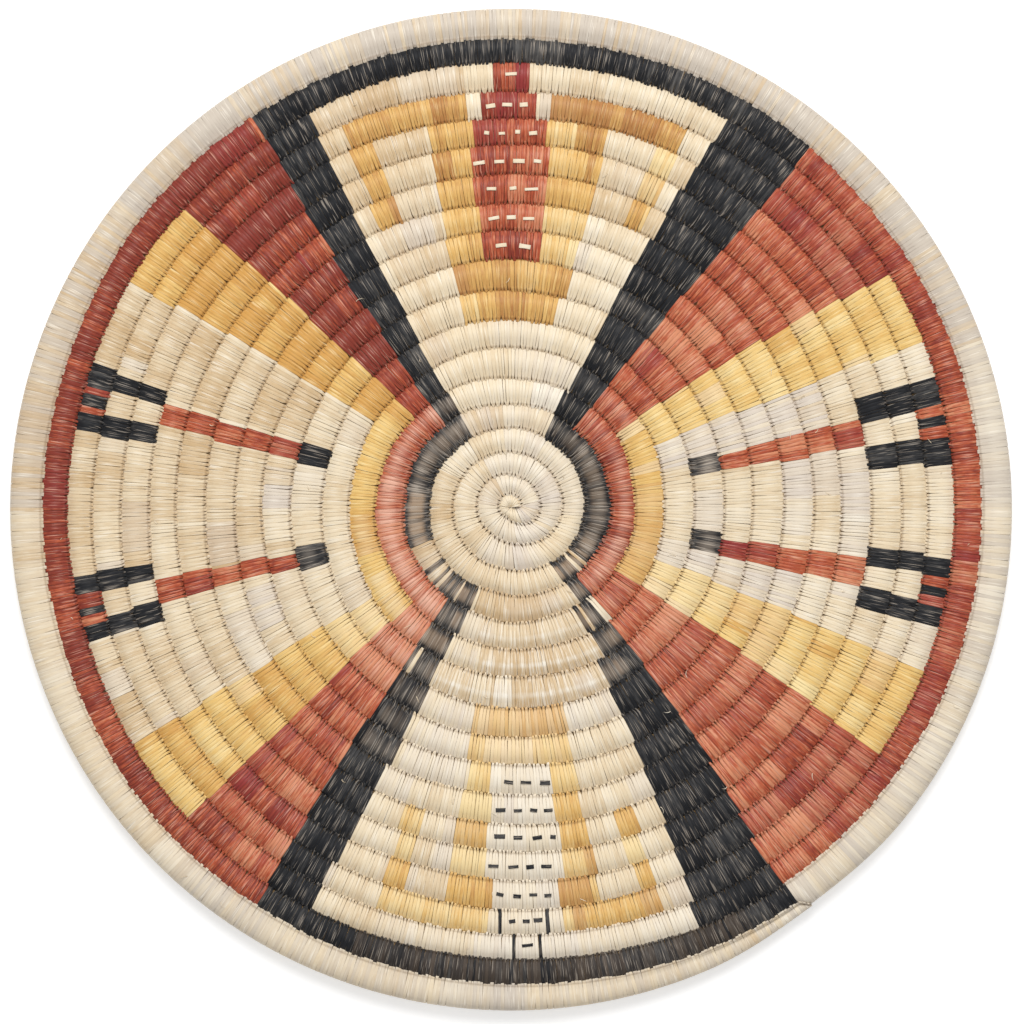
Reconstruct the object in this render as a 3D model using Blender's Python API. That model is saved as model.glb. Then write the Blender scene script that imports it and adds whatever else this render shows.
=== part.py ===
"""A coiled basketry plaque: a flat round of nineteen rounds of grass coil, sewn with coloured splints.

One unbroken bundle of grass spirals out from a knot at the heart to a tip on the rim. Splint stitches
wrap it and bind each round to the one inside it, and a change of splint makes the pattern. The splints
of one colour that lie over each other pass through each other's stitches, so every colour field is one
piece of stitching: a ribbed sleeve with a bore in each round, and the bundle runs through all of them.

The script runs in Blender 4.5, in metres, with +Z up. The plaque lies on z = 0 with its heart at the
origin and its face up. Angles are counter-clockwise from +X, seen from above, as the coil winds.
"""

import math

import bmesh
import bpy
import numpy as np

# Driving sizes of the coil
COIL_WIDTH = 0.010
COIL_THICKNESS = 0.0105
GROOVE_DEPTH = 0.0028
KNOT_RADIUS = 0.0027
TIP_WIDTH = 0.0050
TIP_THICKNESS = 0.0055
TIP_END_WALL = 0.0020
HEART_DRIFT_X = 0.0005
HEART_DRIFT_Y = 0.0018
FIT_GAP = 0.0003

# Shares of the coil's own width and thickness
ROUND_WIDTH_SHARES = (
    0.55, 0.85, 0.85, 0.90, 0.90, 1.05, 1.00, 1.10, 1.05,
    1.05, 1.05, 1.05, 1.05, 1.05, 1.00, 1.00, 0.95, 0.85,
)
SHOULDER_SHARE = 0.24
BUNDLE_SHARE = 0.60
KNOT_CROWN_SHARE = 0.60

# How the coil steps out by one width in each round, in shares of a turn
EVEN_GROWTH_SHARES = (0.78, 0.10)
STEP_BEFORE_SHARE = 0.15
STEP_AFTER_SHARE = 0.10
RIM_CLOSING_SHARE = 0.08
TIP_TAPER_SHARE = 0.11

# Counts of rounds: the knot is round 1 and the rim is the last
RIM_ROUND = len(ROUND_WIDTH_SHARES) + 1
HEART_LAST_ROUND = 4

# Rays on which splints change colour or the coil has a plain corner, in degrees from +X.
# The first is the seam, where each round ends and the next begins.
SEAM = 306.0
RAYS = {
    "seam": SEAM,
    "red_lower_right": 316.5,
    "yellow_lower_right": 327.0,
    "fan_right_start": 339.0,
    "fan_right_low": 353.0,
    "fan_right_high": 368.0,
    "yellow_upper_right": 382.0,
    "red_upper_right": 393.0,
    "black_upper_right": 410.5,
    "top_start": 421.5,
    "top_frame_start": 435.5,
    "top_ear_start": 444.0,
    "top_ear_end": 456.0,
    "top_frame_end": 463.5,
    "black_upper_left": 478.0,
    "red_upper_left": 484.5,
    "yellow_upper_left": 497.0,
    "fan_left_start": 508.5,
    "fan_left_high": 524.0,
    "fan_left_middle": 540.0,
    "fan_left_low": 556.0,
    "yellow_lower_left": 572.0,
    "red_lower_left": 583.5,
    "black_lower_left": 596.0,
    "bottom_start": 604.0,
    "bottom_ear_start": 620.5,
    "bottom_ear_middle": 632.0,
    "bottom_ear_end": 643.5,
    "black_lower_right": 656.0,
}
RAY_NAMES = list(RAYS)
FINE_TURNS = [(angle - SEAM) / 360.0 for angle in RAYS.values()]
COARSE_TURNS = FINE_TURNS[::2]

# Colour, roughness of each kind of splint and of the bundle
SPLINTS = {
    "natural": ((0.80, 0.70, 0.52), 0.62),
    "yellow": ((0.74, 0.50, 0.14), 0.60),
    "ochre": ((0.62, 0.36, 0.11), 0.60),
    "red": ((0.38, 0.08, 0.04), 0.62),
    "black": ((0.022, 0.020, 0.020), 0.66),
    "grass": ((0.30, 0.20, 0.09), 0.85),
}

# Name, first round, last round, first ray, last ray and splint of each field of stitching
FIELDS = (
    ("black_crescent_right", 5, 5, "seam", "top_start", "black"),
    ("natural_crescent_top", 5, 6, "top_start", "black_upper_left", "natural"),
    ("black_crescent_left", 5, 5, "black_upper_left", "bottom_start", "black"),
    ("natural_crescent_bottom", 5, 6, "bottom_start", "end", "natural"),
    ("red_crescent_right", 6, 6, "seam", "black_upper_right", "red"),
    ("red_crescent_left", 6, 6, "red_upper_left", "black_lower_left", "red"),
    ("yellow_crescent_right", 7, 7, "yellow_lower_right", "red_upper_right", "yellow"),
    ("yellow_crescent_left", 7, 7, "yellow_upper_left", "red_lower_left", "yellow"),
    ("red_ray_lower_right", 7, 17, "seam", "yellow_lower_right", "red"),
    ("yellow_ray_lower_right", 8, 17, "yellow_lower_right", "fan_right_start", "yellow"),
    ("natural_fan_right", 8, 17, "fan_right_start", "yellow_upper_right", "natural"),
    ("yellow_ray_upper_right", 8, 17, "yellow_upper_right", "red_upper_right", "yellow"),
    ("red_ray_upper_right", 7, 17, "red_upper_right", "black_upper_right", "red"),
    ("black_ray_upper_right", 6, 17, "black_upper_right", "top_start", "black"),
    ("natural_top_inner", 7, 10, "top_start", "black_upper_left", "natural"),
    ("natural_top_right", 11, 17, "top_start", "top_frame_start", "natural"),
    ("ochre_frame_right", 11, 17, "top_frame_start", "top_ear_start", "ochre"),
    ("red_ear_top", 11, 17, "top_ear_start", "top_ear_end", "red"),
    ("ochre_frame_left", 11, 17, "top_ear_end", "top_frame_end", "ochre"),
    ("natural_top_left", 11, 17, "top_frame_end", "black_upper_left", "natural"),
    ("black_ray_upper_left", 6, 17, "black_upper_left", "red_upper_left", "black"),
    ("red_ray_upper_left", 7, 17, "red_upper_left", "yellow_upper_left", "red"),
    ("yellow_ray_upper_left", 8, 17, "yellow_upper_left", "fan_left_start", "yellow"),
    ("natural_fan_left", 8, 17, "fan_left_start", "yellow_lower_left", "natural"),
    ("yellow_ray_lower_left", 8, 17, "yellow_lower_left", "red_lower_left", "yellow"),
    ("red_ray_lower_left", 7, 17, "red_lower_left", "black_lower_left", "red"),
    ("black_ray_lower_left", 6, 17, "black_lower_left", "bottom_start", "black"),
    ("natural_bottom_inner", 7, 10, "bottom_start", "black_lower_right", "natural"),
    ("natural_bottom_left", 11, 17, "bottom_start", "bottom_ear_start", "natural"),
    ("pale_ear_bottom", 11, 17, "bottom_ear_start", "bottom_ear_end", "natural"),
    ("natural_bottom_right", 11, 17, "bottom_ear_end", "black_lower_right", "natural"),
    ("black_ray_lower_right", 7, 17, "black_lower_right", "end", "black"),
    ("border_red_right", 18, 18, "seam", "black_upper_right", "red"),
    ("border_black_top", 18, 18, "black_upper_right", "red_upper_left", "black"),
    ("border_red_left", 18, 18, "red_upper_left", "black_lower_left", "red"),
    ("border_black_bottom", 18, 18, "black_lower_left", "end", "black"),
    ("rim_coil", 19, 19, "seam", "bottom_ear_middle", "natural"),
    ("rim_tip", 19, 19, "bottom_ear_middle", "end", "natural"),
)


def ease(share):
    """A smooth step from 0 to 1."""
    share = np.clip(share, 0.0, 1.0)
    return share * share * (3.0 - 2.0 * share)


def stepped_radius(turn):
    """Outer edge of the coil after some turns, for every round but the rim.

    Each round adds its own width, partly at an even rate and partly in an eased step at the seam."""
    radius = KNOT_RADIUS
    first, last = EVEN_GROWTH_SHARES
    for index, width_share in enumerate(ROUND_WIDTH_SHARES):
        along = index / (len(ROUND_WIDTH_SHARES) - 1)
        even = first + (last - first) * along**3
        growing = np.clip(turn - index, 0.0, 1.0)
        step = ease((turn - index - 1 + STEP_BEFORE_SHARE) / (STEP_BEFORE_SHARE + STEP_AFTER_SHARE))
        radius += COIL_WIDTH * width_share * (even * growing + (1.0 - even) * step)
    return radius


RIM_START = RIM_ROUND - 1
RIM_RADIUS = stepped_radius(RIM_START) + TIP_WIDTH


def edge_radius(turn):
    """Outer edge of the coil: the rim swells to its full radius soon after the seam and stays there."""
    if turn <= RIM_START:
        return stepped_radius(turn)
    start = stepped_radius(RIM_START)
    return start + (RIM_RADIUS - start) * ease((turn - RIM_START) / RIM_CLOSING_SHARE)


def edge_point(turn):
    """The groove between two rounds, in plan. The heart lies a little off the rim's centre."""
    angle = math.radians(SEAM) + 2.0 * math.pi * turn
    fade = 1.0 - turn / RIM_ROUND
    drift = np.array((HEART_DRIFT_X, HEART_DRIFT_Y)) * fade
    return drift + edge_radius(turn) * np.array((math.cos(angle), math.sin(angle)))


def directions(turn):
    """Unit vectors outward and along the coil."""
    angle = math.radians(SEAM) + 2.0 * math.pi * turn
    outward = np.array((math.cos(angle), math.sin(angle)))
    return outward, np.array((-outward[1], outward[0]))


def thickness(turn):
    """The coil's thickness, which tapers to the tip."""
    left = RIM_ROUND - turn
    if left >= TIP_TAPER_SHARE:
        return COIL_THICKNESS
    return TIP_THICKNESS + (COIL_THICKNESS - TIP_THICKNESS) * ease(left / TIP_TAPER_SHARE)


def spot(plan, along, shift_along, shift_out, turn, height_share):
    """A point of the coil's section: its place in plan, shifted, at a share of half the thickness."""
    outward, forward = directions(turn)
    x, y = plan + forward * (along + shift_along) + outward * shift_out
    return (x, y, COIL_THICKNESS / 2 + height_share * thickness(turn) / 2)


def lozenge(turn, clearance, along=0.0, shift=0.0):
    """Four points round the bundle, or round its bore when there is a clearance: top, out, bottom, in."""
    inner, outer = edge_point(turn - 1), edge_point(turn)
    middle = (inner + outer) / 2
    half_width = BUNDLE_SHARE * np.linalg.norm(outer - inner) / 2
    half_height = BUNDLE_SHARE * thickness(turn) / 2
    slant = math.hypot(half_width, half_height)
    wide = half_width + clearance * slant / half_height
    high = (half_height + clearance * slant / half_width) / (thickness(turn) / 2)
    return (
        spot(middle, along, shift, 0.0, turn, high),
        spot(middle, along, shift, wide, turn, 0.0),
        spot(middle, along, shift, 0.0, turn, -high),
        spot(middle, along, shift, -wide, turn, 0.0),
    )


def material(splint):
    """The finish of one kind of splint, made once."""
    if splint in bpy.data.materials:
        return bpy.data.materials[splint]
    colour, roughness = SPLINTS[splint]
    made = bpy.data.materials.new(splint)
    made.use_nodes = True
    shader = made.node_tree.nodes["Principled BSDF"]
    shader.inputs["Base Color"].default_value = (*colour, 1.0)
    shader.inputs["Roughness"].default_value = roughness
    shader.inputs["Metallic"].default_value = 0.0
    made.diffuse_color = (*colour, 1.0)
    return made


def add_object(name, mesh_builder, splint, parent):
    """Turns a finished bmesh into a named object under the plaque's empty."""
    bmesh.ops.recalc_face_normals(mesh_builder, faces=mesh_builder.faces)
    mesh = bpy.data.meshes.new(name)
    mesh_builder.to_mesh(mesh)
    mesh_builder.free()
    mesh.shade_smooth()
    mesh.set_sharp_from_angle(angle=math.radians(50.0))
    mesh.materials.append(material(splint))
    made = bpy.data.objects.new(name, mesh)
    made.parent = parent
    bpy.context.scene.collection.objects.link(made)
    return made


class Lattice:
    """Cells along the coil: cell n lies between rays n and n + 1, with cell n + per_round outside it."""

    def __init__(self, turns):
        self.turns = turns
        self.per_round = len(turns)

    def turn(self, ray):
        """How many turns the coil has made at a ray."""
        whole, column = divmod(ray, self.per_round)
        return whole + self.turns[column]

    def exists(self, cell):
        return 0 <= cell < RIM_ROUND * self.per_round

    def cells(self, first_round, last_round, start, end):
        """The cells of some rounds between two columns."""
        return {
            (a_round - 1) * self.per_round + column
            for a_round in range(first_round, last_round + 1)
            for column in range(start, end)
        }


class Field:
    """One field of stitching: the grooved, bored sleeve over a set of cells, as one closed body."""

    def __init__(self, lattice, cells):
        self.lattice = lattice
        self.cells = cells
        self.builder = bmesh.new()
        self.points = {}

    def absent(self, *cells):
        """How many of these cells belong to a neighbour."""
        return sum(self.lattice.exists(cell) and cell not in self.cells for cell in cells)

    def backing_off(self, toward_start, toward_end):
        """Half the fit gap, away from the side where more cells are a neighbour's."""
        return (FIT_GAP / 2) * np.sign(toward_start - toward_end)

    def vertex(self, kind, ray):
        """The vertex of one kind at a ray, made once."""
        if (kind, ray) not in self.points:
            self.points[kind, ray] = self.builder.verts.new(self.place(kind, ray))
        return self.points[kind, ray]

    def place(self, kind, ray):
        turn = self.lattice.turn(ray)
        if kind.startswith("edge"):
            round_on = self.lattice.per_round
            before = self.absent(ray - 1, ray - 1 + round_on)
            after = self.absent(ray, ray + round_on)
            inside = self.absent(ray - 1, ray)
            outside = self.absent(ray - 1 + round_on, ray + round_on)
            shift_along = self.backing_off(before, after)
            shift_out = self.backing_off(inside, outside)
            groove = 1.0 - GROOVE_DEPTH / (COIL_THICKNESS / 2)
            height = groove if kind == "edge_top" else -groove
            height_turn = turn + 1 if self.is_inner_border(ray) else turn
            x, y, _ = spot(edge_point(turn), 0.0, shift_along, shift_out, turn, 0.0)
            return (x, y, COIL_THICKNESS / 2 + height * thickness(height_turn) / 2)
        shift = self.backing_off(self.absent(ray - 1), self.absent(ray))
        if kind.startswith("bore"):
            blind = not self.lattice.exists(ray)
            along = -TIP_END_WALL if blind else 0.0
            corners = lozenge(turn, FIT_GAP, along, shift)
            return corners[("bore_top", "bore_out", "bore_bottom", "bore_in").index(kind)]
        inner, outer = edge_point(turn - 1), edge_point(turn)
        across = SHOULDER_SHARE if kind.endswith("in") else 1.0 - SHOULDER_SHARE
        side = 1.0 if kind.startswith("shoulder") else -1.0
        return spot(inner + (outer - inner) * across, 0.0, shift, 0.0, turn, side)

    def is_inner_border(self, ray):
        """Whether the field lies only outside the groove here, as the tapering tip does."""
        return not any(cell in self.cells for cell in (ray - 1, ray))

    def section(self, ray):
        """The eight outer points of the coil's section at a ray, round from its inner groove."""
        inside = ray - self.lattice.per_round
        return (
            self.vertex("edge_top", inside),
            self.vertex("shoulder_in", ray),
            self.vertex("shoulder_out", ray),
            self.vertex("edge_top", ray),
            self.vertex("edge_bottom", ray),
            self.vertex("foot_out", ray),
            self.vertex("foot_in", ray),
            self.vertex("edge_bottom", inside),
        )

    def bore(self, ray):
        return [self.vertex(kind, ray) for kind in ("bore_top", "bore_out", "bore_bottom", "bore_in")]

    def end_wall(self, ray):
        """The flat end of one round of the field, with the bore open in it."""
        s, b = self.section(ray), self.bore(ray)
        new = self.builder.faces.new
        new((s[1], s[2], b[0]))
        new((s[2], s[3], b[1], b[0]))
        new((s[3], s[4], b[1]))
        new((s[4], s[5], b[2], b[1]))
        new((s[5], s[6], b[2]))
        new((s[6], s[7], b[3], b[2]))
        new((s[7], s[0], b[3]))
        new((s[0], s[1], b[0], b[3]))

    def cell(self, n):
        """The faces of one cell: ridge, underside and bore, and a wall wherever a neighbour begins."""
        round_on = self.lattice.per_round
        start, end = self.section(n), self.section(n + 1)
        walls = {3: n + round_on not in self.cells, 7: n - round_on not in self.cells}
        for side in range(8):
            if walls.get(side, True):
                following = (side + 1) % 8
                self.builder.faces.new((start[side], start[following], end[following], end[side]))
        start, end = self.bore(n), self.bore(n + 1)
        for side in range(4):
            following = (side + 1) % 4
            self.builder.faces.new((start[side], end[side], end[following], start[following]))
        if n - 1 not in self.cells:
            self.end_wall(n)
        if n + 1 not in self.cells:
            if self.lattice.exists(n + 1):
                self.end_wall(n + 1)
            else:
                self.builder.faces.new(self.section(n + 1))
                self.builder.faces.new(self.bore(n + 1))

    def build(self):
        for n in sorted(self.cells):
            self.cell(n)
        return self.builder


def build_field(name, lattice, cells, splint, parent):
    return add_object(name, Field(lattice, cells).build(), splint, parent)


def build_knot(lattice, parent):
    """The knot that the coil starts from: a small crowned button with a spiral edge and a step."""
    builder = bmesh.new()
    back = -FIT_GAP / 2
    rays = range(lattice.per_round + 1)
    groove = 1.0 - GROOVE_DEPTH / (COIL_THICKNESS / 2)

    def edge(ray, height):
        turn = lattice.turn(ray)
        along = back if ray in (0, lattice.per_round) else 0.0
        return builder.verts.new(spot(edge_point(turn), 0.0, along, back, turn, height))

    def crown(ray, height):
        turn = lattice.turn(ray)
        centre = np.array((HEART_DRIFT_X, HEART_DRIFT_Y))
        along = back if ray == 0 else 0.0
        rise_at = KNOT_CROWN_SHARE * KNOT_RADIUS
        return builder.verts.new(spot(centre, 0.0, along, rise_at, turn, height))

    crowns, edges = {}, {}
    for height in (1.0, -1.0):
        crowns[height] = [crown(ray, height) for ray in rays[:-1]]
        crowns[height].append(crowns[height][0])
        edges[height] = [edge(ray, height * groove) for ray in rays]
        builder.faces.new(crowns[height][:-1])
        for ray in rays[:-1]:
            builder.faces.new(
                (
                    crowns[height][ray],
                    crowns[height][ray + 1],
                    edges[height][ray + 1],
                    edges[height][ray],
                )
            )
    top, bottom = edges[1.0], edges[-1.0]
    for ray in rays[:-1]:
        builder.faces.new((top[ray], top[ray + 1], bottom[ray + 1], bottom[ray]))
    builder.faces.new((crowns[1.0][0], top[-1], top[0]))
    builder.faces.new((top[0], top[-1], bottom[-1], bottom[0]))
    builder.faces.new((bottom[0], bottom[-1], crowns[-1.0][0]))
    return add_object("start_knot", builder, "natural", parent)


def bundle_rings(heart, outer):
    """The sections of the grass bundle, from the knot to the blind end of the tip."""
    heart_rays = range(heart.per_round, HEART_LAST_ROUND * heart.per_round)
    outer_rays = range(HEART_LAST_ROUND * outer.per_round, RIM_ROUND * outer.per_round + 1)
    turns = [heart.turn(ray) for ray in heart_rays] + [outer.turn(ray) for ray in outer_rays]
    rings = [lozenge(turn, 0.0) for turn in turns]
    rings[0] = lozenge(turns[0], 0.0, FIT_GAP / 2)
    rings[-1] = lozenge(turns[-1], 0.0, -TIP_END_WALL - FIT_GAP)
    return turns, rings


def build_bundle(turns, rings, parent):
    """The grass bundle: one unbroken tube through every round."""
    builder = bmesh.new()
    loops = [[builder.verts.new(point) for point in ring] for ring in rings]
    for start, end in zip(loops, loops[1:]):
        for side in range(4):
            following = (side + 1) % 4
            builder.faces.new((start[side], start[following], end[following], end[side]))
    builder.faces.new(loops[0])
    builder.faces.new(loops[-1])
    return add_object("grass_bundle", builder, "grass", parent)


def least_gap(turns, rings):
    """The least distance from the bundle to its own next rounds, measured on its corners and edges."""
    corners = np.array(rings)
    halfway = (corners[:-1] + corners[1:]) / 2
    points = np.concatenate((corners, halfway)).reshape(-1, 3)
    corner_turns = np.array(turns)
    half_turns = (corner_turns[:-1] + corner_turns[1:]) / 2
    at = np.repeat(np.concatenate((corner_turns, half_turns)), 4)
    least = math.inf
    for point, turn in zip(points, at):
        others = points[np.abs(at - turn) > 0.5]
        least = min(least, float(np.linalg.norm(others - point, axis=1).min()))
    return least


def clear_scene():
    for old in list(bpy.data.objects):
        bpy.data.objects.remove(old)


def main():
    clear_scene()
    plaque = bpy.data.objects.new("plaque", None)
    bpy.context.scene.collection.objects.link(plaque)
    heart, outer = Lattice(COARSE_TURNS), Lattice(FINE_TURNS)

    build_knot(heart, plaque)
    heart_cells = heart.cells(2, HEART_LAST_ROUND, 0, heart.per_round)
    build_field("natural_heart", heart, heart_cells, "natural", plaque)
    for name, first_round, last_round, first_ray, last_ray, splint in FIELDS:
        start = RAY_NAMES.index(first_ray)
        end = outer.per_round if last_ray == "end" else RAY_NAMES.index(last_ray)
        cells = outer.cells(first_round, last_round, start, end)
        build_field(name, outer, cells, splint, plaque)

    turns, rings = bundle_rings(heart, outer)
    build_bundle(turns, rings, plaque)
    print(f"plaque diameter {2000 * RIM_RADIUS:.1f} mm, {RIM_ROUND} rounds")
    print(f"least gap of the bundle to itself {1000 * least_gap(turns, rings):.2f} mm")


main()
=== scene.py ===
"""A coiled basketry plaque, dressed stitch by stitch, laid out as an add-on with its sizes in the sidebar.

One bundle of grass winds counter-clockwise from a knot at the heart to a tip on the rim, and some eight
thousand splint stitches wrap it. Each stitch starts as a narrow fang between two stitches of the round
inside it, widens over the crest of its own round and dives into the next groove.

Lengths are in metres. Angles are in degrees, counter-clockwise from +X, as the coil winds. Rounds count
from 1 at the knot, and turns count from 0 on the seam, so round 5 lies between turns 4 and 5.
"""

import math

import bpy
import numpy as np
from bpy.props import FloatProperty, FloatVectorProperty, IntProperty, PointerProperty
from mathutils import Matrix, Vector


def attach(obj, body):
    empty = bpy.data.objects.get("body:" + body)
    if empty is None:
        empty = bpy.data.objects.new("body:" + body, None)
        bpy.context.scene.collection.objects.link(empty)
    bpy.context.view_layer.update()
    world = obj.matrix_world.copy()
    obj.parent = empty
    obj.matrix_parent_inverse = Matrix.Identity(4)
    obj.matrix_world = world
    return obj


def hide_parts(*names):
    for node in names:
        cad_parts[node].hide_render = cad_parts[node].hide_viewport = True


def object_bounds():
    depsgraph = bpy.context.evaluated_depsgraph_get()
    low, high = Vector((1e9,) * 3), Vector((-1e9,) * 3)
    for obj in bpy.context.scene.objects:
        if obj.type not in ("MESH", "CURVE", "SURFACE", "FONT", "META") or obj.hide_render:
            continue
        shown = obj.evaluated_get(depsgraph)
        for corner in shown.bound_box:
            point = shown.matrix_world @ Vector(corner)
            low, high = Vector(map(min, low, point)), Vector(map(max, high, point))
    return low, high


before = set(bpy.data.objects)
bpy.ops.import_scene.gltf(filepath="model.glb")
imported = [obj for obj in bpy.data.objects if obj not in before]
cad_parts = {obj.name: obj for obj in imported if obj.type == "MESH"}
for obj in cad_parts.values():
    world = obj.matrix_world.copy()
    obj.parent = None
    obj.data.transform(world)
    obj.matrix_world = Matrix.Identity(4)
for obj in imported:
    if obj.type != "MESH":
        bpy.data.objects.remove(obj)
CAD_BOX = [list(corner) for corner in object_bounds()]

bl_info = {
    "name": "Coiled Plaque",
    "version": (1, 0, 0),
    "blender": (4, 5, 0),
    "location": "3D View > Sidebar > Plaque",
    "description": "Sews a coiled basketry plaque stitch by stitch over its bundle",
    "category": "Add Mesh",
}

BODY = "root"

# The coil's growth, in shares of its width and of a turn, as in the solid model
SEAM = 306.0
ROUND_WIDTH_SHARES = (
    0.55, 0.85, 0.85, 0.90, 0.90, 1.05, 1.00, 1.10, 1.05,
    1.05, 1.05, 1.05, 1.05, 1.05, 1.00, 1.00, 0.95, 0.85,
)
EVEN_GROWTH_SHARES = (0.78, 0.10)
STEP_BEFORE_SHARE = 0.15
STEP_AFTER_SHARE = 0.10
RIM_STEP_SHARE = 0.65
RIM_STEP_TURNS = 0.004
RIM_CLOSING_TURNS = 0.045
TIP_TAPER_SHARE = 0.11
TIP_DRAW_TURNS = 0.035
RIM_START = len(ROUND_WIDTH_SHARES)
RIM_ROUND = RIM_START + 1
COIL_END = RIM_ROUND + 0.0035

# Where the coil leaves the button at the heart, in turns: its first groove opens at the notch
BUTTON_END_TURN = 0.86
NOTCH_TURN = 0.17

# The first groove, which strays most: degrees wound, counted from +X, and its distance from the hole
HEART_GROOVE = (
    (-54, 0.0034), (8, 0.0041), (50, 0.0048), (90, 0.0051), (162, 0.0045), (237, 0.0038), (256, 0.0039),
    (282, 0.0055), (311, 0.0080), (331, 0.0099), (357, 0.0109), (431, 0.0114), (457, 0.0121), (488, 0.0125),
    (552, 0.0118), (591, 0.0114), (617, 0.0123), (639, 0.0133), (658, 0.0147), (681, 0.0168), (704, 0.0182),
    (722, 0.0190), (761, 0.0192), (813, 0.0202), (857, 0.0209), (880, 0.0202), (917, 0.0200), (934, 0.0208),
    (964, 0.0208), (1000, 0.0218), (1020, 0.0228), (1036, 0.0241), (1080, 0.0276),
)
HEART_FADE_TURNS = (2.0, 2.9)

# One stitch as stations round the coil's section: share across the coil, share of the full width, and
# how deep in a groove it lies, from 0 on the crest to 1. The first two and the last lie in the round
# inside, and their places come from the bite.
CROSSING_SHARES = (-1.0, -1.0, 0.02, 0.12, 0.30, 0.54, 0.77, 0.92, 0.99, 0.99, 0.80, 0.45, 0.12, -1.0)
WIDTH_SHARES = (0.40, 0.66, 0.92, 0.98, 1.00, 1.00, 1.00, 0.99, 0.94, 0.95, 1.00, 1.00, 0.90, 0.30)
# The depth sets how much shade, with some dust, is painted on the stitch at that station
DEPTH_SHARES = (1.00, 0.22, 0.62, 0.15, 0.00, 0.00, 0.00, 0.20, 0.90, 0.90, 0.10, 0.00, 0.20, 1.00)
STATIONS = len(CROSSING_SHARES)
TOP_STATIONS = 9
BURIED, EMERGED, BRIDGE = 0, 1, 2
RIM_SIDE_STATIONS = (7, 8, 9)
RIM_FANG_SHARES = (0.70, 0.92, 1.00, 1.00)
CREST_STATION = 5.5
SECTION_TOP_SHARE = 1.00
SECTION_LOW_SHARE = 1.03
CORNERS = 4

# How far inside the knot's outer edge the stitches have their pitch, in shares of the knot's width
KNOT_SPACING_INSET = 0.12

# Height of the groove's floor between the fangs and of the fangs there, in shares of half the thickness
FLOOR_SHARE = 0.61
UNDER_FLOOR_SHARE = 0.28
BRIDGE_SHARE = 0.69
BUNDLE_RINGS = 132
SEAM_RINGS = 40
SEAM_REACH_TURNS = 0.012

# The coil's own waviness: waves per turn, and where each wave starts
WAVES = ((2.7, 0.4), (5.3, 1.9), (9.1, 4.0))


def srgb(red, green, blue):
    """A colour seen as 0 to 255 per channel, as linear light."""
    seen = np.array((red, green, blue)) / 255.0
    return tuple(np.where(seen <= 0.04045, seen / 12.92, ((seen + 0.055) / 1.055) ** 2.4))


def colour(name, description, seen):
    return FloatVectorProperty(
        name=name, description=description, default=srgb(*seen), subtype="COLOR", size=3, min=0.0, max=1.0
    )


def length(name, description, default):
    return FloatProperty(name=name, description=description, default=default, unit="LENGTH", precision=5)


def share(name, description, default):
    return FloatProperty(
        name=name, description=description, default=default, min=0.0, max=1.0, subtype="FACTOR"
    )


class CoilSizes(bpy.types.PropertyGroup):
    """Sizes of the coil, which follow the solid model."""

    coil_width: length("Coil width", "Width of a full round", 0.010)
    thickness: length("Thickness", "Thickness of the coil, read from the frame", CAD_BOX[1][2] - CAD_BOX[0][2])
    knot_radius: length("Knot radius", "Outer edge of the knot on the seam", 0.0027)
    hole_radius: length("Hole radius", "Half of the small hole in the knot", 0.00005)
    tip_width: length("Tip width", "Width of the coil where it ends", 0.0050)
    tip_thickness: length("Tip thickness", "Thickness of the coil where it ends", 0.0055)
    tip_draw: length("Tip draw", "How far the tip is drawn in at its end", 0.0012)
    heart_x: length("Heart offset X", "How far the heart lies from the rim's centre", 0.0002)
    heart_y: length("Heart offset Y", "How far the heart lies from the rim's centre", 0.0012)
    hole_x: length("Hole X", "Where the hole of the knot lies", -0.00034)
    hole_y: length("Hole Y", "Where the hole of the knot lies", 0.00072)
    left_draw: length("Left draw", "How far the middle rounds are drawn in on the left", 0.0013)
    waviness: length("Waviness", "How far the grooves stray from the even spiral", 0.00022)
    roundness: FloatProperty(
        name="Roundness", description="2 is an elliptical coil and more is squarer", default=2.4, min=1.5, max=4.0
    )


class StitchSizes(bpy.types.PropertyGroup):
    """Sizes of the splints and how evenly they are sewn."""

    pitch: length("Pitch", "Mean distance between stitches along the coil", 0.00122)
    splint: length("Splint thickness", "Thickness of one splint", 0.00038)
    bite: length("Bite", "How far a stitch reaches into the round inside it", 0.00072)
    burial: length("Burial", "How deep a stitch's ends go into the round inside", 0.0008)
    gap: length("Gap", "Widest gap between neighbouring stitches", 0.00014)
    unevenness: share("Unevenness", "Spread of the pitch", 0.16)
    lift: length("Lift", "How much one stitch stands above another", 0.00012)
    dash_width: length("Dash width", "Mean width of the dashes on the ears", 0.0013)
    dash_rise: length("Dash rise", "How far the dashes stand over the stitches", 0.00030)
    stray_length: length("Stray length", "Mean length of the stray ends", 0.0022)
    stray_width: length("Stray width", "Widest of a stray end", 0.00022)
    stray_rise: length("Stray rise", "How far the stray ends stand up", 0.0006)
    strays: IntProperty(name="Stray ends", description="How many splint ends stick out", default=50, min=0)
    seed: IntProperty(name="Seed", description="Start of the random draws", default=7)


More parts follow.
